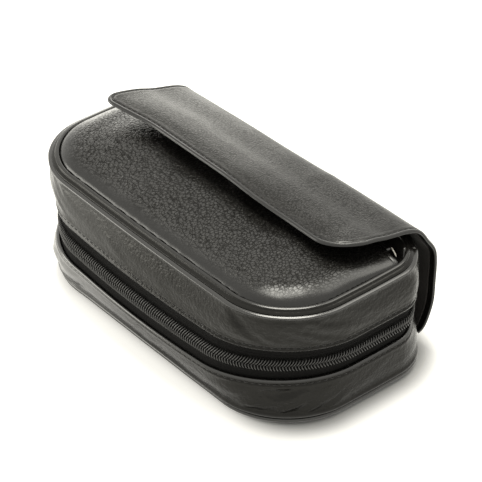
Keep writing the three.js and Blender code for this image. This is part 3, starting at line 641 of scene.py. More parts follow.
def finish_for(name):
    """The named finish, made the first time that a piece asks for it."""
    if name not in FINISHES:
        look = bpy.context.scene.case_leather
        tone, pebble, relief = tuple(look.colour), look.pebble * MM, look.relief * MM
        maker, *values = {
            "pocket_hide": (leather_finish, tone, pebble, relief, 0.28, 1.5, 0.14),
            "flap_hide": (leather_finish, tone, pebble * 0.75, relief * 0.3, 0.3, 0.5),
            "band_hide": (smooth_leather_finish, tone, 0.24, 0.00038),
            # Painted shade: the bindings and the pocket's hem take the hide's colour a fifth darker,
            # to keep their faces dark.
            "binding_hide": (smooth_leather_finish, scaled(tone, 0.8), 0.2, 0.0001),
            "tape_weave": (woven_finish, (0.005, 0.0048, 0.0045), 0.0007, 1.0, 0.0002, 0.12, 0.0),
            "lining_weave": (woven_finish, (0.024, 0.021, 0.019), 0.0006, 1.0, 0.0001),
            "elastic_weave": (woven_finish, (0.016, 0.0155, 0.015), 0.0009, 2.2, 0.0003),
            "black_thread": (thread_finish, (0.012, 0.011, 0.010)),
            "pale_thread": (thread_finish, (0.42, 0.40, 0.36), 0.7),
            "coil_nylon": (coil_finish, (0.035, 0.034, 0.032)),
            "dark_nickel": (metal_finish, (0.16, 0.155, 0.15)),
            "grey_board": (board_finish, (0.13, 0.10, 0.07)),
        }[name]
        FINISHES[name] = maker(name, *values)
    return FINISHES[name]


def dress_node(node, finish):
    """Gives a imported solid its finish."""
    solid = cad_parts[node]
    solid.data.materials.clear()
    solid.data.materials.append(finish_for(finish))


# ---- Surfaces of the pieces --------------------------------------------------------------------
# The ledge of a band under its binding: depths below the seam, and how far out each lies.
LEDGE_DROPS = np.array([0.0, 0.08, 0.17, 0.26, 0.36, 0.5, 0.68, 0.9, 1.2, 1.6, 2.2])
LEDGE_OUTS = np.array([-0.7, -0.28, 0.1, 0.42, 0.66, 0.84, 0.93, 0.92, 0.7, 0.3, 0.0])
# The first points of a band's section, its belly and the depth of its turned edge.
BAND_EDGE = [0.0, 0.08, 0.22, 0.42, 0.7]
BAND_BELLY = 0.7
TURNED_EDGE = 0.78


def band_section(span):
    """The outer side of a gusset band's section as distances from its zip edge and how far out
    each lies: a turned edge with a stitch groove, a soft belly and a ledge under the binding."""
    middle = np.linspace(4.8, span - LEDGE_DROPS[-1], 16)
    h = np.concatenate([BAND_EDGE, np.linspace(1.0, 4.2, 14), middle, span - LEDGE_DROPS[-2::-1]])
    lip = TURNED_EDGE * quarter(h / 0.75) - TURNED_EDGE
    groove = 0.48 * bump_at(h, BAND_SEAM, 0.34)
    fold = 0.3 * bump_at(h, 1.0, 0.6) - groove + 0.12 * bump_at(h, BAND_SEAM + 1.0, 0.7)
    belly = BAND_BELLY * np.sin(np.pi * smooth(h / span))
    ledge = np.interp(span - h, LEDGE_DROPS, LEDGE_OUTS)
    return h, lip + fold * smooth(h / 0.8) + belly + ledge


def wrinkles(along, h, seed):
    """Creases of a band: long shallow folds that run with it, and short slanted ones."""
    long_folds = 0.20 * hills(along, h + 0.02 * along, seed, 26.0, 3.4)
    slanted = 0.4 * hills(along + 1.6 * h, h, seed + 1, 6.5, 7.0)
    small = 0.08 * hills(along - 0.8 * h, h, seed + 2, 2.6, 2.2)
    return long_folds + slanted + small


BAND_COLUMNS = 460
LEFT_CORNER_WALK, FRONT_WALK, RIGHT_CORNER_WALK = 7.0, 15.5, 23.0
CORNER_SPREAD = 3.2


def band_surface(seam, edge, seed, pull):
    """Sections of a gusset band, the distance along it and its grain, which `pull` takes from its
    left half."""
    walks, along = even_walks(BAND_COLUMNS, ZIP_START, ZIP_END)
    span = abs(seam - edge)
    h, outer = band_section(span)
    quiet = ramp(h, 3.0, 3.0) * smooth((span - h) / 3.0)
    corner = 0.4 + 1.7 * bump_at(walks, RIGHT_CORNER_WALK, CORNER_SPREAD)
    corner = corner + 1.2 * bump_at(walks, LEFT_CORNER_WALK, CORNER_SPREAD)
    crease = wrinkles(along[:, None], h[None], seed) * quiet * corner[:, None]
    out = np.concatenate([outer + crease, np.full_like(crease, -LEATHER)], 1)
    height = edge + np.sign(seam - edge) * np.concatenate([h, h[::-1]])
    grain = ramp(h, 0.4, 0.8) * smooth((span - h - 0.6) / 0.8)
    pulled = pull * smooth((FRONT_WALK - walks) / 5.0)
    grain = np.concatenate([grain, grain[::-1]]) * (1 - pulled[:, None])
    return wall(walks[:, None], height[None], out), along, grain


def bead(out, height, radius, start, end, count):
    """Points of an arc, from one angle to the other in degrees."""
    angle = np.radians(np.linspace(start, end, count))
    return np.stack([out + radius * np.cos(angle), height + radius * np.sin(angle)], 1)


def rim_section():
    """The upper binding as [how far out, height above its seam]: a broad bead by the pocket, a
    slanted face, and a turned edge that leaves a dark gap to the band."""
    inner = bead(-3.3, 1.24, 0.55, 200, 96, 7)
    crown = bead(-3.42, -0.8, 2.6, 86, 62, 9)
    outer = bead(-2.45, 1.02, 0.5, 55, -20, 6)
    face = [[-1.85, 0.7], [-1.6, 0.58], [-1.2, 0.34], [-0.85, 0.1], [-0.6, -0.1], [-0.5, -0.28]]
    under = [[-0.8, -0.4], [-2.6, -0.2], [-3.7, 0.3]]
    return np.concatenate([inner, crown, outer, face, under])


# Where a binding's beads end and its outer face starts, as a distance out, and the beads' grain.
BEADED = -2.2
BEAD_GRAIN = 0.4


def foot_section():
    """The lower binding as [how far out, depth below its seam]: two round beads and a channel."""
    inner, outer = bead(-3.1, 1.95, 0.95, 200, -35, 14), bead(-0.15, 0.8, 0.9, 165, -70, 14)
    channel = [[-2.0, 0.8], [-1.5, 0.6], [-1.1, 0.55]]
    under = [[-0.8, 0.2], [-2.6, 0.3], [-3.9, 0.9]]
    return np.concatenate([inner, channel, outer, under])


def pocket_outline(count):
    """The pocket's sewn outline as a closed run of points."""
    walks, _ = whole_round(count, RIM_SEAM)
    return wall(walks, RIM_SEAM, -(BINDING_WIDTH + CLEAR))[:, :2]


POCKET_MIDDLE = (REARS[3] - FRONTS[3]) / 2
POCKET_HUB = (0.0, -9.0)
HAIR = 1e-9
OUTLINE_POINTS = 720
CROWDING = 0.75
# The shares of the sewn edge at which the pocket's left side and its front end.
SIDE_SHARES = (0, 0.21, 0.79, 1.0)


def edge_distance(x, y):
    """How far a point of the pocket lies inside its sewn outline."""
    near = np.full(np.shape(x), np.inf)
    for edge_x, edge_y in pocket_outline(OUTLINE_POINTS):
        near = np.minimum(near, np.hypot(x - edge_x, y - edge_y))
    return near


def pocket_height(x, y):
    """The padded pocket's top: a round shoulder by the binding, a slow rise to the middle, and
    lower towards its mouth."""
    inside = edge_distance(x, y)
    rise = SHOULDER_RISE * quarter(inside / SHOULDER_WIDTH)
    rise = rise + CROWN_RISE * smooth(inside / CROWN_WIDTH)
    fall = ramp(y, POCKET_MIDDLE, POCKET_MOUTH - POCKET_MIDDLE)
    return POCKET_EDGE + rise * (1 - MOUTH_FALL * fall)


def pocket_plan(count):
    """Points of the pocket's plan on a square grid: each ray from the middle meets the square's
    border where it meets the pocket's, so rows lie along the mouth and round the sewn edge."""
    ring = pocket_outline(1600)
    start = np.argmin(np.where(ring[:, 0] < 0, np.abs(ring[:, 1] - POCKET_MOUTH), np.inf))
    ring = np.roll(ring, -start, axis=0)
    ring = ring[ring[:, 1] <= POCKET_MOUTH + 0.02]
    steps = distances(ring)
    t = crowded(count, CROWDING)
    u, v = np.meshgrid(t, t, indexing="ij")
    r = np.maximum(np.abs(u), np.abs(v))
    safe = np.where(r > HAIR, r, 1.0)
    su, sv = u / safe, v / safe
    # The border's walk q: 0..1 down the left side, 1..3 along the front, 3..4 up the right side.
    left, front, right = su < HAIR - 1, sv < HAIR - 1, su > 1 - HAIR
    q = np.select([left, front, right], [(1 - sv) / 2, 1 + (su + 1), 3 + (sv + 1) / 2], -1.0)
    share = np.interp(q, [0, 1, 3, 4], SIDE_SHARES) * steps[-1]
    mouth_x = ring[0, 0] + (ring[-1, 0] - ring[0, 0]) * (su + 1) / 2
    bx = np.where(q < 0, mouth_x, np.interp(share, steps, ring[:, 0]))
    by = np.where(q < 0, POCKET_MOUTH, np.interp(share, steps, ring[:, 1]))
    cx, cy = POCKET_HUB
    return cx + r * (bx - cx), cy + r * (by - cy)


PUFF_SMOOTHING = 8
PUFF_STEPS = 20
PUFF_PRESSURE = 4.0
PUFF_STRETCH = 0.02
PAD_DEPTH = 2.0
COARSE = 46


def puffed(x, y, z, cap):
    """How a pad's cover moves when its filling presses on it. A coarse copy of the cover, held
    along its border and closed by a flat back, is blown up as cloth. Its moves are scaled until
    the largest is the cap, and spread over the fine grid between the coarse points."""
    fine, count = len(x), COARSE
    pick = np.ix_(*[np.linspace(0, fine - 1, count).round().astype(int)] * 2)
    top = np.stack([x[pick], y[pick], z[pick]], -1).reshape(-1, 3)
    back = top * [1, 1, 0] + [0, 0, z.min() - PAD_DEPTH]
    points, faces = np.concatenate([top, back]), closed_faces(count, count)
    pad = new_piece("pad_trial", points, [faces], finish_for("pocket_hide"))
    held = pad.vertex_groups.new(name="held")
    held.add([*border_of(count, count).tolist(), *range(len(top), len(points))], 1.0, "REPLACE")
    cloth = pad.modifiers.new("cloth", "CLOTH")
    cloth.settings.vertex_group_mass = "held"
    cloth.settings.use_pressure = True
    cloth.settings.uniform_pressure_force = PUFF_PRESSURE
    cloth.settings.shrink_min = -PUFF_STRETCH
    cloth.settings.effector_weights.gravity = 0.0
    scene = bpy.context.scene
    for step in range(PUFF_STEPS):
        scene.frame_set(step + 1)
    blown = pad.evaluated_get(bpy.context.evaluated_depsgraph_get())
    moved = np.empty(len(points) * 3)
    blown.data.vertices.foreach_get("co", moved)
    moved = (moved.reshape(-1, 3) / MM - points)[: count * count].reshape(count, count, 3)
    mesh = pad.data
    bpy.data.objects.remove(pad)
    bpy.data.meshes.remove(mesh)
    scene.frame_set(1)
    for _ in range(PUFF_SMOOTHING):
        inner = moved[:-2, 1:-1] + moved[2:, 1:-1] + moved[1:-1, :-2] + moved[1:-1, 2:]
        moved[1:-1, 1:-1] = 0.5 * moved[1:-1, 1:-1] + 0.125 * inner
    moved *= cap / max(np.linalg.norm(moved, axis=2).max(), 1e-6)
    at = np.linspace(0, count - 1, fine)
    low = np.minimum(at.astype(int), count - 2)
    part = (at - low)[:, None, None]
    rows = moved[low] * (1 - part) + moved[low + 1] * part
    return rows[:, low] * (1 - part[:, 0]) + rows[:, low + 1] * part[:, 0]


def spline_points(points, count):
    """A smooth curve through the points, by the uniform Catmull-Rom rule, evenly spaced."""
    p = np.asarray(points, float)
    n = len(p)
    t = np.linspace(0, n - 1, 4000)
    i = np.minimum(t.astype(int), n - 2)
    w = (t - i)[:, None]
    a, b, c, d = p[np.maximum(i - 1, 0)], p[i], p[i + 1], p[np.minimum(i + 2, n - 1)]
    first = np.where((i == 0)[:, None], b, a)
    last = np.where((i >= n - 2)[:, None], c, d)
    v0, v1 = (c - first) * 0.5, (last - b) * 0.5
    curve = (2 * b - 2 * c + v0 + v1) * w**3 + (-3 * b + 3 * c - 2 * v0 - v1) * w**2 + v0 * w + b
    along = distances(curve)
    places = np.linspace(0, along[-1], count)
    return np.stack([np.interp(places, along, values) for values in curve.T], 1), along[-1]


FLAP_HALF = 74.3
FLAP_THICK = 2.0
FLAP_LEFT_CORNER = 7.0
FLAP_RIGHT_CORNER = 16.0
FLAP_ARCH = 2.2
FLAP_SEAM = 1.9
# The flap's profile: shares of the rear's height, its gaps to the rear and below its root, how
# far its crest's corner lies behind the rim, the crest's points and the landing from that corner,
# its tip over the case's top, and the shares of the way from the landing to the tip.
FLAP_RISES = np.array([0.01, 0.17, 0.34, 0.52, 0.72, 0.84])
FLAP_GAP, ROOT_GAP = 0.8, 0.3
CREST_BACK = 0.6
FLAP_CREST = np.array([[5.9, -5.5], [4.5, -3.1], [2.7, -0.5], [0.5, 1.6], [-2.2, 3.1], [-6.5, 4.6]])
FLAP_LANDING = (-6.0, 2.346)
FLAP_TIP = np.array([-5.2, 12.0])
FLAP_REACHES = np.array([0.28, 0.5, 0.75, 1.0])
REAR_MIDDLE = 37.0


def flap_profile():
    """The flap's outer profile seen along X: up the rear side, over the crest and forward."""
    heights = BOTTOM_SEAM + ROOT_GAP + FLAP_RISES * (RIM_SEAM - BOTTOM_SEAM)
    side = np.stack([outline(REAR_MIDDLE, heights)[1] + FLAP_GAP + FLAP_THICK, heights], 1)
    edge = np.array([REARS[3] + CREST_BACK, CASE_HEIGHT])
    landing = edge + FLAP_LANDING
    reach = FLAP_REACHES[:, None]
    way = FLAP_TIP + [0, CASE_HEIGHT] - landing
    front = landing + way * reach + [0, 1] * (FLAP_ARCH * 4 * reach * (1 - reach))
    return spline_points(np.concatenate([side, edge + FLAP_CREST, front]), 1201)


FLAP_CURVE, FLAP_LENGTH = flap_profile()
FLAP_SLOPE = unit(np.gradient(FLAP_CURVE, axis=0))
FOLD_SHARE = 0.526


# How far parts of the flap leave its plain profile, in millimetres.
CREST_SINK, CREST_LIFT, CREST_FORWARD = 2.6, 0.9, 2.2
RIGHT_DROOP, RIGHT_CORNER_LIFT, RIGHT_BOW = 2.4, 1.1, 0.5
SKEW, LEFT_FORWARD = 1.2, 4.2
NARROW, ROOT_TUCK = 2.0, 3.7


def flap_point(x, share, depth):
    """A point `depth` below the flap's outer face. The crest sinks towards the left end, where the
    front corner lies further forward. The right side bows up and its front corner droops. The
    root is a little narrower than the rest."""
    place = np.clip(share, 0, 1) * (len(FLAP_CURVE) - 1)
    index = np.arange(len(FLAP_CURVE))
    y, z, ty, tz = (np.interp(place, index, a) for a in (*FLAP_CURVE.T, *FLAP_SLOPE.T))
    tilt = x / FLAP_HALF
    sunk = leftward(x, 94)
    raised = ramp(tilt, 0.15, 0.8)
    left = ramp(-tilt, 0.55, 0.45)
    past = np.clip((share - FOLD_SHARE) / (1 - FOLD_SHARE), 0, 1)
    above = ramp(share, 0.3, 0.2)
    droop = RIGHT_DROOP * smooth(tilt / 0.6)
    front_z = left - droop + RIGHT_CORNER_LIFT * ramp(tilt, 0.75, 0.25)
    crest_z = CREST_LIFT * raised - CREST_SINK * sunk
    bow = RIGHT_BOW * raised * 4 * past * (1 - past)
    rise = above * (crest_z * (1 - past) + front_z * past + bow)
    skew = SKEW * smooth((0.6 - tilt) / 0.4) + LEFT_FORWARD * left
    slide = -above * (CREST_FORWARD * sunk * (1 - past) + skew * past)
    narrow = NARROW * np.clip(1 - share / 0.45, 0, 1)
    narrow = narrow + ROOT_TUCK * np.exp(-np.clip(share, 0, 1) / 0.05)
    return np.stack([x - tilt * narrow, y - tz * depth + slide, z + ty * depth + rise], -1)


def corner_radius(x):
    """The radius of the flap's front corner on x's side."""
    return np.where(x > 0, FLAP_RIGHT_CORNER, FLAP_LEFT_CORNER)


def corner_cut(x):
    """How much of the front edge a rounded corner takes away at x."""
    radius = corner_radius(x)
    into = np.clip(np.abs(x) - (FLAP_HALF - radius), 0, radius)
    return radius - np.sqrt(np.maximum(radius**2 - into**2, 0))


def flap_edge_distance(x, down):
    """Distance from the flap's cut edge, for a point at x and `down` back from its front line."""
    radius, side = corner_radius(x), FLAP_HALF - np.abs(x)
    cx, cy = radius - side, radius - down
    rounded = radius - np.hypot(np.maximum(cx, 0), np.maximum(cy, 0))
    return np.where((cx > 0) & (cy > 0), rounded, np.minimum(side, down))


# Distances of the flap's first rows from a cut edge, close together across its turned border.
EDGE_ROWS = np.array([
    0.0, 0.1, 0.3, 0.55, 0.85, 1.15, 1.45, 1.65, 1.8, 1.95, 2.1, 2.3, 2.6, 3.1, 3.8, 4.6, 5.6,
])
NEAR_FRONT = 6.2


def flap_grid(inset):
    """Columns of a flap layer as x, and its rows as distances back from its front line. Both
    crowd towards the cut edges."""
    half = FLAP_HALF - inset
    left, right = np.linspace(6.6, 14.0, 9), np.linspace(6.3, 20.5, 21)[::-1]
    middle = np.linspace(-half + 15.5, half - 22.0, 70)
    near = EDGE_ROWS[::-1]
    x = np.concatenate([EDGE_ROWS - half, left - half, middle, half - right, half - near])
    return x, np.concatenate([np.linspace(FLAP_LENGTH - inset, NEAR_FRONT, 110), near])


# ---- Sizes and colours that a user may change --------------------------------------------------
class CaseLeather(bpy.types.PropertyGroup):
    """The leather's colour and grain."""

    colour: bpy.props.FloatVectorProperty(
        name="Colour", description="Colour of the hide", subtype="COLOR", size=3, min=0.0, max=1.0,
        default=(0.0105, 0.0098, 0.0088),
    )
    pebble: bpy.props.FloatProperty(
        name="Pebble", description="Width of one pebble of the grain, in millimetres",
        default=1.3, min=0.3, max=4.0,
    )
    relief: bpy.props.FloatProperty(
        name="Relief", description="Depth of the grain, in millimetres",
        default=0.34, min=0.0, max=1.0,
    )


class CaseSewing(bpy.types.PropertyGroup):
    """The stitches."""

    stitch: bpy.props.FloatProperty(
        name="Stitch", description="Length of one stitch and its gap, in millimetres",
        default=2.9, min=1.0, max=6.0,
    )
    thread: bpy.props.FloatProperty(
        name="Thread", description="Thickness of the thread, in millimetres",
        default=0.5, min=0.1, max=1.5,
    )


class CaseZip(bpy.types.PropertyGroup):
    """The zip's coil."""

    pitch: bpy.props.FloatProperty(
        name="Pitch", description="Distance between two turns, in millimetres",
        default=1.25, min=0.5, max=4.0,
    )
    wire: bpy.props.FloatProperty(
        name="Wire", description="Thickness of the coil's filament, in millimetres",
        default=0.55, min=0.2, max=1.5,
    )


class CaseStage(bpy.types.PropertyGroup):
    """The floor and the lamps."""

    floor: bpy.props.FloatVectorProperty(
        name="Floor", description="Colour of the floor", subtype="COLOR", size=3, min=0.0, max=1.0,
        default=(0.84, 0.84, 0.825),
    )
    lamps: bpy.props.FloatProperty(
        name="Lamps", description="Power of the four lamps together", subtype="POWER",
        default=8.2, min=0.0,
    )


SETTINGS = {
    "case_leather": CaseLeather, "case_sewing": CaseSewing,
    "case_zip": CaseZip, "case_stage": CaseStage,
}


# ---- Operators, one for each piece or group ----------------------------------------------------
POCKET_GRID = 150
POCKET_HALF = 1.1
MOUTH_ROLL, MOUTH_SEAM = 0.9, 2.2
PUFF = 0.8


class BuildPocket(bpy.types.Operator):
    """The padded front pocket with its turned mouth"""

    bl_idname = "case.pocket"
    bl_label = "Front Pocket"

    def execute(self, context):
        x, y = pocket_plan(POCKET_GRID)
        top = pocket_height(x, y)
        inside = edge_distance(x, y)
        loft = 0.35 * hills(x, y, 5, 34.0, 19.0) + 0.12 * hills(x, y, 6, 11.0, 9.0)
        top = top + loft * smooth(inside / 14.0)
        back = POCKET_MOUTH - y
        roll = POCKET_HALF * quarter(back / MOUTH_ROLL)
        middle = top - POCKET_HALF
        groove = 0.2 * bump_at(back, MOUTH_SEAM, 0.4)
        upper = np.stack([x, y, middle + roll - groove], -1)
        lower = np.stack([x, y, middle - roll], -1)
        puff = puffed(x, y, top, PUFF) * smooth(inside / 9.0)[..., None]
        points = settle(np.stack([upper + puff, lower + puff]))
        marks = {"grain": double(ramp(inside, 1.0, 8.5) * 0.95 + 0.05)}
        faces = [closed_faces(POCKET_GRID, POCKET_GRID)]
        pocket = new_piece("pocket_leather", points, faces, finish_for("pocket_hide"), None, marks)
        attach(pocket, "lid")
        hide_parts("front_pocket")
        return {"FINISHED"}


PAD_TOP = 58.6


class BuildPanels(bpy.types.Operator):
    """The leather panels inside the bindings; the upper one is padded behind the pocket's mouth"""

    bl_idname = "case.panels"
    bl_label = "Panels"

    def execute(self, context):
        def pad(x, y, high):
            return (PAD_TOP - high) * ramp(y, 24.0, 3.5) * (1 - 0.25 * ramp(y, 28, 5))

        top = panel("top_panel", "front_panel", pad)
        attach(top, "lid")
        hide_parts("front_panel")
        back = panel("bottom_panel", "back_panel", lambda x, y, high: 0 * x)
        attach(back, "base")
        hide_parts("back_panel")
        return {"FINISHED"}


MOUTH_HALF = 72.2
HEM_OUT, HEM_HALF_HEIGHT = 1.35, 0.9
# The right thread bar's two ends and its upward direction; the left one mirrors it.
THREAD_BAR = np.array([[[73.6, 21.6, 61.2]], [[78.2, 20.4, 59.6]], [[0.3, 0.0, 1.0]]])
BAR_WIDTH, BAR_HEIGHT = 0.62, 0.5


class BuildPocketEdge(bpy.types.Operator):
    """The turned strip along the pocket's mouth, with its thread bars"""

    bl_idname = "case.pocket_edge"
    bl_label = "Pocket Edge"

    def execute(self, context):
        x = np.linspace(-MOUTH_HALF, MOUTH_HALF, 121)
        top = pocket_height(x, np.full_like(x, POCKET_MOUTH)) - 0.3
        angle = full_turn(18)
        y = POCKET_MOUTH + HEM_OUT + squared_off(np.cos(angle), 0.7)
        z = top[:, None] - 1.0 + HEM_HALF_HEIGHT * squared_off(np.sin(angle), 0.8)
        sections = settle(np.stack(np.broadcast_arrays(x[:, None], y[None], z), -1))
        strip = strip_piece("pocket_hem", sections, finish_for("binding_hide"))
        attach(strip, "lid")
        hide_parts("pocket_edge")
        for side, name in ((1, "right"), (-1, "left")):
            start, end, up = THREAD_BAR * [side, 1, 1]
            thread = finish_for("pale_thread")
            size = (BAR_WIDTH, BAR_HEIGHT)
            bar = capsules(f"thread_bar_{name}", start, end, up, *size, thread, sides=8, rings=9)
            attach(bar, "lid")
        return {"FINISHED"}


# How far a binding stands off its seam, and how far its edge wavers.
LAP, WAVER = 0.2, 0.06


class BuildBindings(bpy.types.Operator):
    """The beaded leather bindings round the top and bottom edges"""

    bl_idname = "case.bindings"
    bl_label = "Bindings"

    def execute(self, context):
        for name, node, seam, loop, body, face_grain in (
            ("front_piping", "front_binding", RIM_SEAM + LAP, rim_section(), "lid", 0.95),
            ("back_piping", "back_binding", BOTTOM_SEAM - LAP, foot_section() * [1, -1], "base", 0.2),
        ):
            walks, along = whole_round(460, RIM_SEAM)
            out, height = loop[:, 0], seam + loop[:, 1]
            waver = WAVER * hills(along, 0 * along, 31, 9.0, 1.0)
            sections = wall(walks[:, None], height[None], out[None] + waver[:, None])
            grain = np.where(out > BEADED, face_grain, BEAD_GRAIN) * np.ones((len(walks), 1))
            marks = {"grain": grain}
            strip = strip_piece(name, sections, finish_for("binding_hide"), None, marks, ring=True)
            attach(strip, body)
            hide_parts(node)
        return {"FINISHED"}


# How far in the rear gusset is tucked under the two bindings, and over what height.
TUCK, TUCK_HEIGHT = 0.9, 1.3


class BuildBands(bpy.types.Operator):
    """The gusset bands above and below the zip, and the folding rear gusset"""

    bl_idname = "case.bands"
    bl_label = "Gusset Bands"

    def execute(self, context):
        for name, node, seam, edge, body, seed, pull in (
            ("upper_band", "lid_band", RIM_SEAM - 0.3, UPPER_ZIP_EDGE, "lid", 11, 0.3),
            ("lower_band", "base_band", BOTTOM_SEAM + CLEAR, LOWER_ZIP_EDGE, "base", 17, 0.9),
        ):
            sections, along, grain = band_surface(seam, edge, seed, pull)
            uv, marks = section_uv(sections, along), {"grain": grain}
            band = strip_piece(name, sections, finish_for("band_hide"), uv, marks)
            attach(band, body)
            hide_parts(node)
        walks, along = even_walks(180, ZIP_END + CLEAR, WHOLE_WALK + ZIP_START - CLEAR)
        low, high = BOTTOM_SEAM + CLEAR, RIM_SEAM - CLEAR
        z = np.linspace(low, high, 80)
        into = np.minimum(z - low, high - z) / TUCK_HEIGHT
        tuck, fold = -TUCK * smooth(1 - into), -0.5 * bump_at(z, ZIP_LINE, 1.2)
        ends = np.minimum(along, along[-1] - along)
        seam = -0.3 * bump_at(ends, 2.4, 0.5) - 0.8 * (1 - smooth(ends / 0.7))
        crease = wrinkles(along[:, None], z[None], 23) * ramp(ends, 3, 4)[:, None] * 0.8
        outer = tuck[None] + fold[None] + seam[:, None] + crease
        out = np.concatenate([outer, np.full_like(outer, -LEATHER)], 1)
        sections = wall(walks[:, None], np.concatenate([z, z[::-1]])[None], out)
        uv, marks = section_uv(sections, along), {"grain": np.ones(sections.shape[:2])}
        rear = strip_piece("rear_gusset", sections, finish_for("band_hide"), uv, marks)
        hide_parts("base_rear_band", "lid_rear_band")
        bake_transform(rear)
        return {"FINISHED"}


# How far along the zip its rows stay parted, and the gaps between parted and joined rows.
PARTED_REACH = 53.0
PARTED, JOINED = 1.6, 0.5


def zip_parting(along):
    """Half the distance between the two rows: wide where the slider runs, narrow elsewhere."""
    return (PARTED + (JOINED - PARTED) * ramp(along, PARTED_REACH, 6)) / 2


# How far a tape reaches from the zip line, its thickness, how far it stands back from the
# parting, and where its woven cord lies.
TAPE_REACH = 12.25
TAPE_THICK = 0.8
TAPE_BACK = 0.2
CORD_PLACE = 4.7


class BuildZip(bpy.types.Operator):
    """The woven zip tapes and the two rows of coil"""

    bl_idname = "case.zip"
    bl_label = "Zip"

    def execute(self, context):
        sizes = context.scene.case_zip
        for side, body, rows in ((1, "lid", "upper"), (-1, "base", "lower")):
            walks, along = even_walks(440, ZIP_START, ZIP_END)
            edge = ZIP_LINE + side * (zip_parting(along) + TAPE_BACK)
            hidden = ZIP_LINE + side * TAPE_REACH
            t = np.linspace(0, 1, 40)
            height = edge[:, None] + (hidden - edge[:, None]) * t
            height = np.concatenate([height, height[:, ::-1]], 1)
            cord = 0.3 * bump_at(np.abs(height[0] - ZIP_LINE), CORD_PLACE, 0.4)
            out = cord * np.repeat([1.0, 0.0], len(t))
            out = out + np.repeat([TAPE_OFFSET, TAPE_OFFSET - TAPE_THICK], len(t))
            sag = 0.1 * hills(along[:, None], height, 41, 14.0, 6.0)
            sections = wall(walks[:, None], height, out[None] + sag)
            uv = section_uv(sections, along)
            tape = strip_piece(f"{rows}_tape", sections, finish_for("tape_weave"), uv)
            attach(tape, body)
            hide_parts(f"{body}_zip_tape")
            coil = coil_piece(f"{rows}_coil", side, sizes.pitch, sizes.wire)
            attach(coil, body)
            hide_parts(f"{body}_zip_coil")
        return {"FINISHED"}


# One turn of the coil, from the tape to the parting line: how far out it lies, and how far it
# has leant along the zip as a share of the pitch.
TURN_RISE = np.array([-1.25, -0.35, 0.02, 0.16, 0.2, 0.16, 0.05, -0.35, -1.2])
TURN_LEAN = np.array([0.0, 0.08, 0.25, 0.42, 0.6, 0.78, 0.92, 1.0, 0.96])
TURN_REACH, TURN_OVERLAP = 3.1, 0.42
TURN_SIDES = 6
TURN_STEP = 0.02
FOOT_FATNESS, TURN_FLATNESS = 1.2, 0.92


def coil_piece(name, side, pitch, wire):
    """A row of coil turns. Each turn is a flattened loop of filament that rises from the tape,
    crosses the front of the row and dips at the parting line, leaning along the zip."""
    fine, lengths = even_walks(FINE_STEPS, ZIP_START, ZIP_END)
    first = 0.5 if side > 0 else 0.25
    middle = (np.arange(int(lengths[-1] / pitch)) + first) * pitch + 0.2
    middle = middle[middle < lengths[-1] - 0.6]
    t = np.linspace(0.0, 1.0, len(TURN_RISE))
    where = middle[:, None] - (TURN_LEAN - TURN_LEAN.mean()) * pitch
    height = ZIP_LINE + side * (zip_parting(where) - TURN_OVERLAP + TURN_REACH * (1 - t))
    walks = np.interp(where, lengths, fine)
    path = wall(walks, height, TURN_RISE)
    way = unit(np.gradient(path, axis=1))
    after, before = (wall(walks + step, height, TURN_RISE) for step in (TURN_STEP, -TURN_STEP))
    along = after - before
    along = unit(along - way * np.sum(along * way, axis=2, keepdims=True))
    other = np.cross(way, along)
    angle = full_turn(TURN_SIDES)
    fat = np.full(len(t), wire / 2)
    fat[-2:] *= FOOT_FATNESS
    loops = (
        path[:, :, None]
        + along[:, :, None] * (fat[:, None] * np.cos(angle) * TURN_FLATNESS)[None, ..., None]
        + other[:, :, None] * (fat[:, None] * np.sin(angle))[None, ..., None]
    )
    faces = tube_faces(len(t), TURN_SIDES, len(middle))
    return new_piece(name, loops, faces, finish_for("coil_nylon"))


def flap_layer(name, near_depth, far_depth, inset, material, grain, bumps):
    """One layer of the flap as a closed shell whose two faces meet in a rounded edge."""
    columns, rows = flap_grid(inset)
    x, down = np.meshgrid(columns, rows, indexing="ij")
    cut = corner_cut(x * FLAP_HALF / (FLAP_HALF - inset))
    # The rows near the front follow the rounded corners, and fade to straight ones further back.
    down = down + cut * np.where(down <= NEAR_FRONT, 1.0, smooth((70.0 - down) / 60.0))
    from_front = down + inset
    share = 1 - from_front / FLAP_LENGTH
    edge = np.minimum(flap_edge_distance(x, from_front), FLAP_LENGTH - from_front)
    edge = np.clip(edge - inset, 0, None)
    half_thick = (far_depth - near_depth) / 2
    roll = quarter(edge / half_thick)
    middle = (near_depth + far_depth) / 2
    upper = flap_point(x, share, middle - half_thick * roll - bumps(x, down, edge) * roll)
    lower = flap_point(x, share, middle + half_thick * roll)
    uv = np.stack([x, down], -1)
    marks = {"grain": double(grain(edge))}
    faces = [closed_faces(*share.shape)]
    return new_piece(name, np.stack([upper, lower]), faces, material, np.stack([uv, uv]), marks)


def flap_relief(x, down, edge):
    """The flap's outer face: a turned border with a stitch groove, and slow waves of the hide."""
    groove = 0.4 * bump_at(edge, FLAP_SEAM, 0.3)
    border = 0.15 * bump_at(edge, 0.9, 0.5) - groove + 0.1 * bump_at(edge, FLAP_SEAM + 1.1, 0.6)
    waves = 0.25 * hills(x, down, 51, 40.0, 16.0) + 0.08 * hills(x, down, 52, 12.0, 8.0)
    return border + waves * ramp(edge, 3.5, 8.0)


HIDE_DEPTH, LINING_DEPTH, LINING_INSET = 1.5, 1.55, 3.0


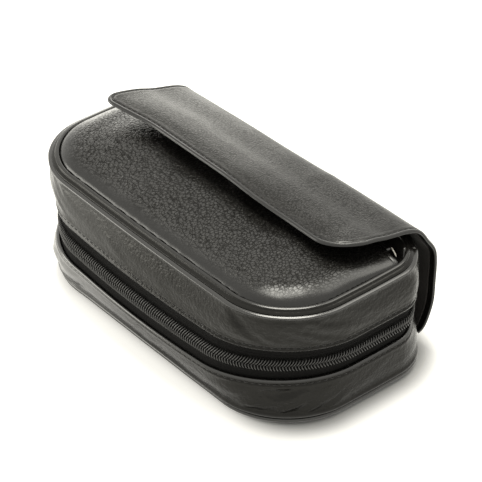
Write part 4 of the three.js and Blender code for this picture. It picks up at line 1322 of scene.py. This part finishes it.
class BuildFlap(bpy.types.Operator):
    """The flap's leather and its lining, bending at the fold"""

    bl_idname = "case.flap"
    bl_label = "Flap"

    def execute(self, context):
        leather = flap_layer(
            "flap_leather", 0.0, HIDE_DEPTH, 0.0, finish_for("flap_hide"),
            lambda edge: ramp(edge, 1.2, 2.4) * 0.95 + 0.05, flap_relief,
        )
        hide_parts("flap_back", "flap_top")
        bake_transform(leather)
        lining = flap_layer(
            "flap_lining", LINING_DEPTH, FLAP_THICK, LINING_INSET, finish_for("lining_weave"),
            np.ones_like, lambda x, down, edge: 0.0 * edge,
        )
        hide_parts("flap_back_lining", "flap_top_lining")
        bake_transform(lining)
        return {"FINISHED"}


STITCH_GAP = 0.3


def along_path(points, normals, stitch):
    """Starts, ends and normals of stitches laid evenly along a path."""
    along = distances(points)
    count = int(along[-1] / stitch)
    first = (np.arange(count) + STITCH_GAP / 2) * along[-1] / count
    last = first + (1 - STITCH_GAP) * along[-1] / count

    def at(places, rows):
        return np.stack([np.interp(places, along, values) for values in rows.T], 1)

    up = at((first + last) / 2, normals)
    return at(first, points), at(last, points), unit(up)


def stitch_row(name, points, normals, sewing):
    """Flattened stitches of black thread along a path."""
    starts, ends, up = along_path(points, normals, sewing.stitch)
    thick = sewing.thread
    size = (thick, thick * THREAD_FLATNESS)
    return capsules(name, starts, ends, up, *size, finish_for("black_thread"))


# A stitch lies in its groove, on a belly that has hardly begun to rise there.
STITCH_DEPTH = 0.22 - BAND_BELLY * math.sin(math.pi * 0.02)
FLAP_STITCH_DEPTH = 0.24
FLAP_ROW_END = 4.0
THREAD_FLATNESS = 0.8


class BuildStitches(bpy.types.Operator):
    """The rows of stitches along the bands and the flap"""

    bl_idname = "case.stitches"
    bl_label = "Stitches"

    def execute(self, context):
        sewing = context.scene.case_sewing
        for name, edge, side, body in (
            ("upper_band_stitches", UPPER_ZIP_EDGE, 1, "lid"),
            ("lower_band_stitches", LOWER_ZIP_EDGE, -1, "base"),
        ):
            walks, _ = even_walks(900, ZIP_START + 0.12, ZIP_END - 0.12)
            height = edge + side * BAND_SEAM
            row = wall(walks, height, -STITCH_DEPTH)
            out = wall(walks, height, 1.0) - wall(walks, height, 0.0)
            piece = stitch_row(name, row, out, sewing)
            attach(piece, body)
        self.flap_rows(sewing)
        return {"FINISHED"}

    def flap_rows(self, sewing):
        """The flap's row runs up its right side, round the front corners and back down its left."""
        turn = np.radians(np.linspace(0, 90, 40))
        root, right, left = FLAP_LENGTH - FLAP_ROW_END, FLAP_RIGHT_CORNER, FLAP_LEFT_CORNER
        right_turn, left_turn = right - FLAP_SEAM, left - FLAP_SEAM
        x = np.concatenate([
            np.full(300, FLAP_HALF - FLAP_SEAM),
            FLAP_HALF - right + right_turn * np.cos(turn),
            np.linspace(FLAP_HALF - right, left - FLAP_HALF, 300),
            left - FLAP_HALF - left_turn * np.sin(turn),
            np.full(300, FLAP_SEAM - FLAP_HALF),
        ])
        down = np.concatenate([
            np.linspace(root, right, 300),
            right - right_turn * np.sin(turn),
            np.full(300, FLAP_SEAM),
            left - left_turn * np.cos(turn),
            np.linspace(left, root, 300),
        ])
        share = 1 - down / FLAP_LENGTH
        row = flap_point(x, share, FLAP_STITCH_DEPTH)
        out = flap_point(x, share, 0.0) - flap_point(x, share, 1.0)
        piece = stitch_row("flap_stitches", row, out, sewing)
        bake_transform(piece)


class BuildInside(bpy.types.Operator):
    """The linings and the tool loops inside the case, and the boards and fasteners"""

    bl_idname = "case.inside"
    bl_label = "Inside"

    def execute(self, context):
        for name, node, floor, lip, body, seed in (
            ("lower_lining", "base_lining", 3.25, 25.4, "base", 61),
            ("upper_lining", "lid_lining", 51.0, 33.2, "lid", 67),
        ):
            lining = lining_tray(name, floor, lip, seed)
            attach(lining, body)
            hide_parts(node)
        strap = strap_piece("loop_strap")
        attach(strap, "base")
        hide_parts("tool_strap")
        for node in ("back_board", "front_board"):
            dress_node(node, "grey_board")
        for node in ("snap_stud", "snap_socket", "slider_body", "slider_pull"):
            dress_node(node, "dark_nickel")
        return {"FINISHED"}


def ringed_piece(name, rings, material):
    """A closed body of rings that start and end in a point: its two middles close it."""
    points = np.array(rings)
    n, m = points.shape[:2]
    centre = np.stack([points[0].mean(0), points[-1].mean(0)])
    k = np.arange(m)
    first = np.stack([np.full(m, n * m), k, (k + 1) % m], 1)
    last = np.stack([np.full(m, n * m + 1), (n - 1) * m + (k + 1) % m, (n - 1) * m + k], 1)
    uv = points[..., :2] + points[..., 2:]
    points = np.concatenate([points.reshape(-1, 3), centre])
    uv = np.concatenate([uv.reshape(-1, 2), centre[:, :2]])
    grain = np.full(len(points), 0.5)
    faces = [grid_faces(n, m, False, True), np.concatenate([first, last])]
    return new_piece(name, points, faces, material, uv, {"grain": grain})


PLAN_MIDDLE = np.array([0.0, -1.0, 0.0])
RING_SHARES = np.array([0.12, 0.3, 0.48, 0.64, 0.78, 0.88, 0.95, 0.985])


def ring_at(walks, height, out, share=1.0):
    """The wall's outline at a height, shrunk towards the middle of the plan by a share."""
    points = wall(walks, height, out)
    return PLAN_MIDDLE + (points - PLAN_MIDDLE) * [share, share, 1]


# A tray's gap to the tape, its floor's thickness, its wall's, the rounding of its two feet and
# how far in its inner floor ends.
TRAY_GAP, TRAY_THICK, TRAY_WALL = 1.4, 0.6, 0.65
OUTER_FOOT, INNER_FOOT, INNER_FLOOR = 0.5, 0.6, 1.2


def lining_tray(name, floor, lip, seed):
    """A tray of lining cloth: rings go over its floor, up its wall to the lip, and back inside."""
    up = np.sign(lip - floor)
    walks, along = whole_round(300, ZIP_LINE)
    offset = TAPE_OFFSET - TRAY_GAP
    inner = floor + up * TRAY_THICK
    rings = [ring_at(walks, floor, offset, share) for share in RING_SHARES]
    for t in np.linspace(0, 1, 12):
        foot = OUTER_FOOT * (1 - smooth(t * 6))
        rings.append(ring_at(walks, floor + (lip - floor) * t, offset - foot))
    for t in np.linspace(1, 0, 12)[:-1]:
        height = inner + (lip - inner) * t
        wave = 0.25 * smooth(t * 8) * hills(along, height, seed, 16.0, 9.0)
        foot = INNER_FOOT * (1 - smooth(t * 5))
        rings.append(ring_at(walks, height, offset - TRAY_WALL - foot + wave))
    rings += [ring_at(walks, inner, offset - INNER_FLOOR, share) for share in RING_SHARES[::-1]]
    return ringed_piece(name, rings, finish_for("lining_weave"))


PANEL_OUT = -4.2


def panel(name, node, crown):
    """A leather panel inside a binding: rings over its lower face and back over its upper face,
    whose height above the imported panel's top is the crown."""
    low, high = (corner[2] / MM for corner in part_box(node))
    walks, _ = whole_round(360, RIM_SEAM if low > ZIP_LINE else BOTTOM_SEAM)
    shares = (*RING_SHARES, 1.0)
    rings = [ring_at(walks, low, PANEL_OUT, share) for share in shares]
    for share in shares[::-1]:
        ring = ring_at(walks, high, PANEL_OUT, share)
        ring[:, 2] += crown(ring[:, 0], ring[:, 1], high)
        rings.append(ring)
    return ringed_piece(name, rings, finish_for("band_hide"))


STRAP_HALF, STRAP_LEVEL = 53.3, 4.5
LOOP_CENTRES = (-38.1, -12.7, 12.7, 38.1)
LOOP_HALF, LOOP_RISE = 9.0, 8.6
STRAP_MIDDLE, STRAP_HALF_WIDTH, STRAP_HALF_THICK = 4.0, 7.9, 0.42


def strap_piece(name):
    """Elastic ribbon: a thin rounded section carried over four arches, flat between them."""
    x = np.linspace(-STRAP_HALF, STRAP_HALF, 321)
    places = (np.clip((x - centre) / LOOP_HALF, -1, 1) for centre in LOOP_CENTRES)
    height = STRAP_LEVEL + LOOP_RISE * sum(np.cos(np.pi / 2 * t) ** 2 for t in places) ** 0.8
    slope = np.gradient(height, x)[:, None]
    angle = full_turn(28)
    y = STRAP_MIDDLE + STRAP_HALF_WIDTH * squared_off(np.cos(angle), 0.25)
    lift = STRAP_HALF_THICK * squared_off(np.sin(angle), 0.5) / np.hypot(1, slope)
    sections = np.broadcast_arrays(x[:, None] - slope * lift, y, height[:, None] + lift)
    sections = np.stack(sections, -1)
    uv = section_uv(sections, distances(np.stack([x, height], 1)))
    return strip_piece(name, sections, finish_for("elastic_weave"), uv)


# Each lamp's name, place and diameter in metres, and its share of the lamps' power.
LAMPS = (
    ("top_lamp", (-0.13, 0.105, 0.98), 0.44, 0.66),
    ("right_lamp", (0.083, 0.47, 0.763), 0.45, 0.16),
    ("left_lamp", (-0.40, -0.34, 0.12), 0.34, 0.145),
    ("back_card", (-0.35, 0.235, 0.09), 0.25, 0.035),
)
LAMP_COLOUR = (1.0, 0.98, 0.9)
LAMP_AIM = (0.0, 0.0, 0.03)
ROOM_COLOUR = (1.0, 0.985, 0.93)
ROOM_LEVEL = 0.4
FLOOR_GLOW = (0.72, 0.705, 0.66)
FLOOR_MIRROR = 0.7
FLOOR_HALF = 6000.0
# The oblong round which the floor's glow is left out, which paints a shadow by the case, and how far
# off that fades, in metres.
PAINTED_SHADOW_MIDDLE, PAINTED_SHADOW_HALF, PAINTED_SHADOW_FADE = (0.004, 0.002), (0.054, 0.016), (0.024, 0.037)
# The lens and its film in millimetres; the camera's turn about the case, its height over the
# horizon and its roll in degrees; what it looks at in millimetres and from how far in metres.
LENS = 202.77
SENSOR_WIDTH = 36.0
CLIP_RANGE = (0.05, 20.0)
CAMERA_ANGLES = (51.79, 36.242, -1.494)
CAMERA_TARGET = (0.749, 3.576, 32.215)
CAMERA_DISTANCE = 1.127631


class BuildStage(bpy.types.Operator):
    """The pale floor, the soft lamps and the camera"""

    bl_idname = "case.stage"
    bl_label = "Stage"

    def execute(self, context):
        look = context.scene.case_stage
        self.floor(tuple(look.floor))
        self.world(context.scene)
        for name, place, size, share in LAMPS:
            self.lamp(name, place, size, look.lamps * share)
        self.camera(context.scene)
        context.scene.view_settings.view_transform = "Standard"
        return {"FINISHED"}

    def floor(self, colour):
        """A wide plain floor. It is white to the camera and in the reflections, with a faint warm
        glow that lightens its shadows; close by the case that glow is left out, which paints a darker
        shadow there."""
        corners = np.array([[-1, -1, 0], [1, -1, 0], [1, 1, 0], [-1, 1, 0]])
        made = Finish("floor_paper", Roughness=0.9, Specular_IOR_Level=0.1, Emission_Strength=1.0)
        camera, glossy, through = made.seen_rays()
        # Painted shadow: the glow that the camera sees fades out by the case, so the floor is darker
        # there.
        glow = camera * self.outside_painted_shadow(made) + (glossy + through) * FLOOR_MIRROR
        grain = made.noise(made.place(), 40.0)
        made.set(Base_Color=made.blend(grain * 0.2, colour, scaled(colour, 0.98)))
        made.set(Emission_Color=made.blend(glow, (0.0, 0.0, 0.0), FLOOR_GLOW))
        faces = [np.array([[0, 1, 2, 3]])]
        floor = new_piece("floor", corners * FLOOR_HALF, faces, made.material)

    def outside_painted_shadow(self, made):
        """Mask of the painted shadow: 0 by the case and 1 further off, by the distance from a rounded
        oblong.
        """
        beyond_x, beyond_y = (
            (((place - middle) ** 2.0) ** 0.5 - half).clamped()
            for place, middle, half in zip(made.split(made.place()), PAINTED_SHADOW_MIDDLE, PAINTED_SHADOW_HALF)
        )
        return ((beyond_x**2.0 + beyond_y**2.0) ** 0.5).between(*PAINTED_SHADOW_FADE)

    def world(self, scene):
        """An even room. It is white to the camera and in the reflections."""
        room = bpy.data.worlds.new("soft_room")
        scene.world = room
        room.use_nodes = True
        shop = Shop(room.node_tree)
        camera, glossy, through = shop.seen_rays()
        background = room.node_tree.nodes["Background"]
        background.inputs["Color"].default_value = (*ROOM_COLOUR, 1.0)
        seen = (camera + glossy + through).clamped()
        shop.feed(background.inputs["Strength"], seen * (1.0 - ROOM_LEVEL) + ROOM_LEVEL)

    def lamp(self, name, place, size, power):
        data = bpy.data.lights.new(name, "AREA")
        data.shape = "DISK"
        data.size = size
        data.energy = power
        data.color = LAMP_COLOUR
        lamp = bpy.data.objects.new(name, data)
        lamp.location = place
        way = Vector(LAMP_AIM) - Vector(place)
        lamp.rotation_euler = way.to_track_quat("-Z", "Y").to_euler()
        bpy.context.scene.collection.objects.link(lamp)

    def camera(self, scene):
        """The camera, placed and rolled as the photograph's outline of the seams asks."""
        data = bpy.data.cameras.new("camera")
        data.lens, data.sensor_width = LENS, SENSOR_WIDTH
        data.clip_start, data.clip_end = CLIP_RANGE
        camera = bpy.data.objects.new("camera", data)
        az, el, roll = (math.radians(angle) for angle in CAMERA_ANGLES)
        back = Vector((math.sin(az) * math.cos(el), -math.cos(az) * math.cos(el), math.sin(el)))
        right = Vector((math.cos(az), math.sin(az), 0.0))
        up = back.cross(right)
        side = right * math.cos(roll) + up * math.sin(roll)
        above = up * math.cos(roll) - right * math.sin(roll)
        place = Vector(CAMERA_TARGET) * MM + back * CAMERA_DISTANCE
        turn = Matrix((side, above, back)).transposed()
        camera.matrix_world = Matrix.Translation(place) @ turn.to_4x4()
        scene.collection.objects.link(camera)
        scene.camera = camera


class CasePanel(bpy.types.Panel):
    """Lists the case's builders and their settings"""

    bl_idname = "VIEW3D_PT_grooming_case"
    bl_label = "Grooming Case"
    bl_space_type = "VIEW_3D"
    bl_region_type = "UI"
    bl_category = "Grooming Case"

    def draw(self, context):
        for setting, group in SETTINGS.items():
            box = self.layout.box()
            for key in group.__annotations__:
                box.prop(getattr(context.scene, setting), key)
        for builder in BUILDERS:
            self.layout.operator(builder.bl_idname)


BUILDERS = (
    BuildPocket, BuildPanels, BuildPocketEdge, BuildBindings, BuildBands, BuildZip, BuildFlap,
    BuildStitches, BuildInside, BuildStage,
)
CLASSES = (*SETTINGS.values(), *BUILDERS, CasePanel)


def register():
    for cls in CLASSES:
        bpy.utils.register_class(cls)
    for setting, group in SETTINGS.items():
        setattr(bpy.types.Scene, setting, bpy.props.PointerProperty(type=group))


def unregister():
    for setting in SETTINGS:
        delattr(bpy.types.Scene, setting)
    for cls in reversed(CLASSES):
        bpy.utils.unregister_class(cls)


def main():
    """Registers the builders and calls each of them."""
    register()
    for builder in BUILDERS:
        group, name = builder.bl_idname.split(".")
        getattr(getattr(bpy.ops, group), name)()


if __name__ == "__main__":
    main()
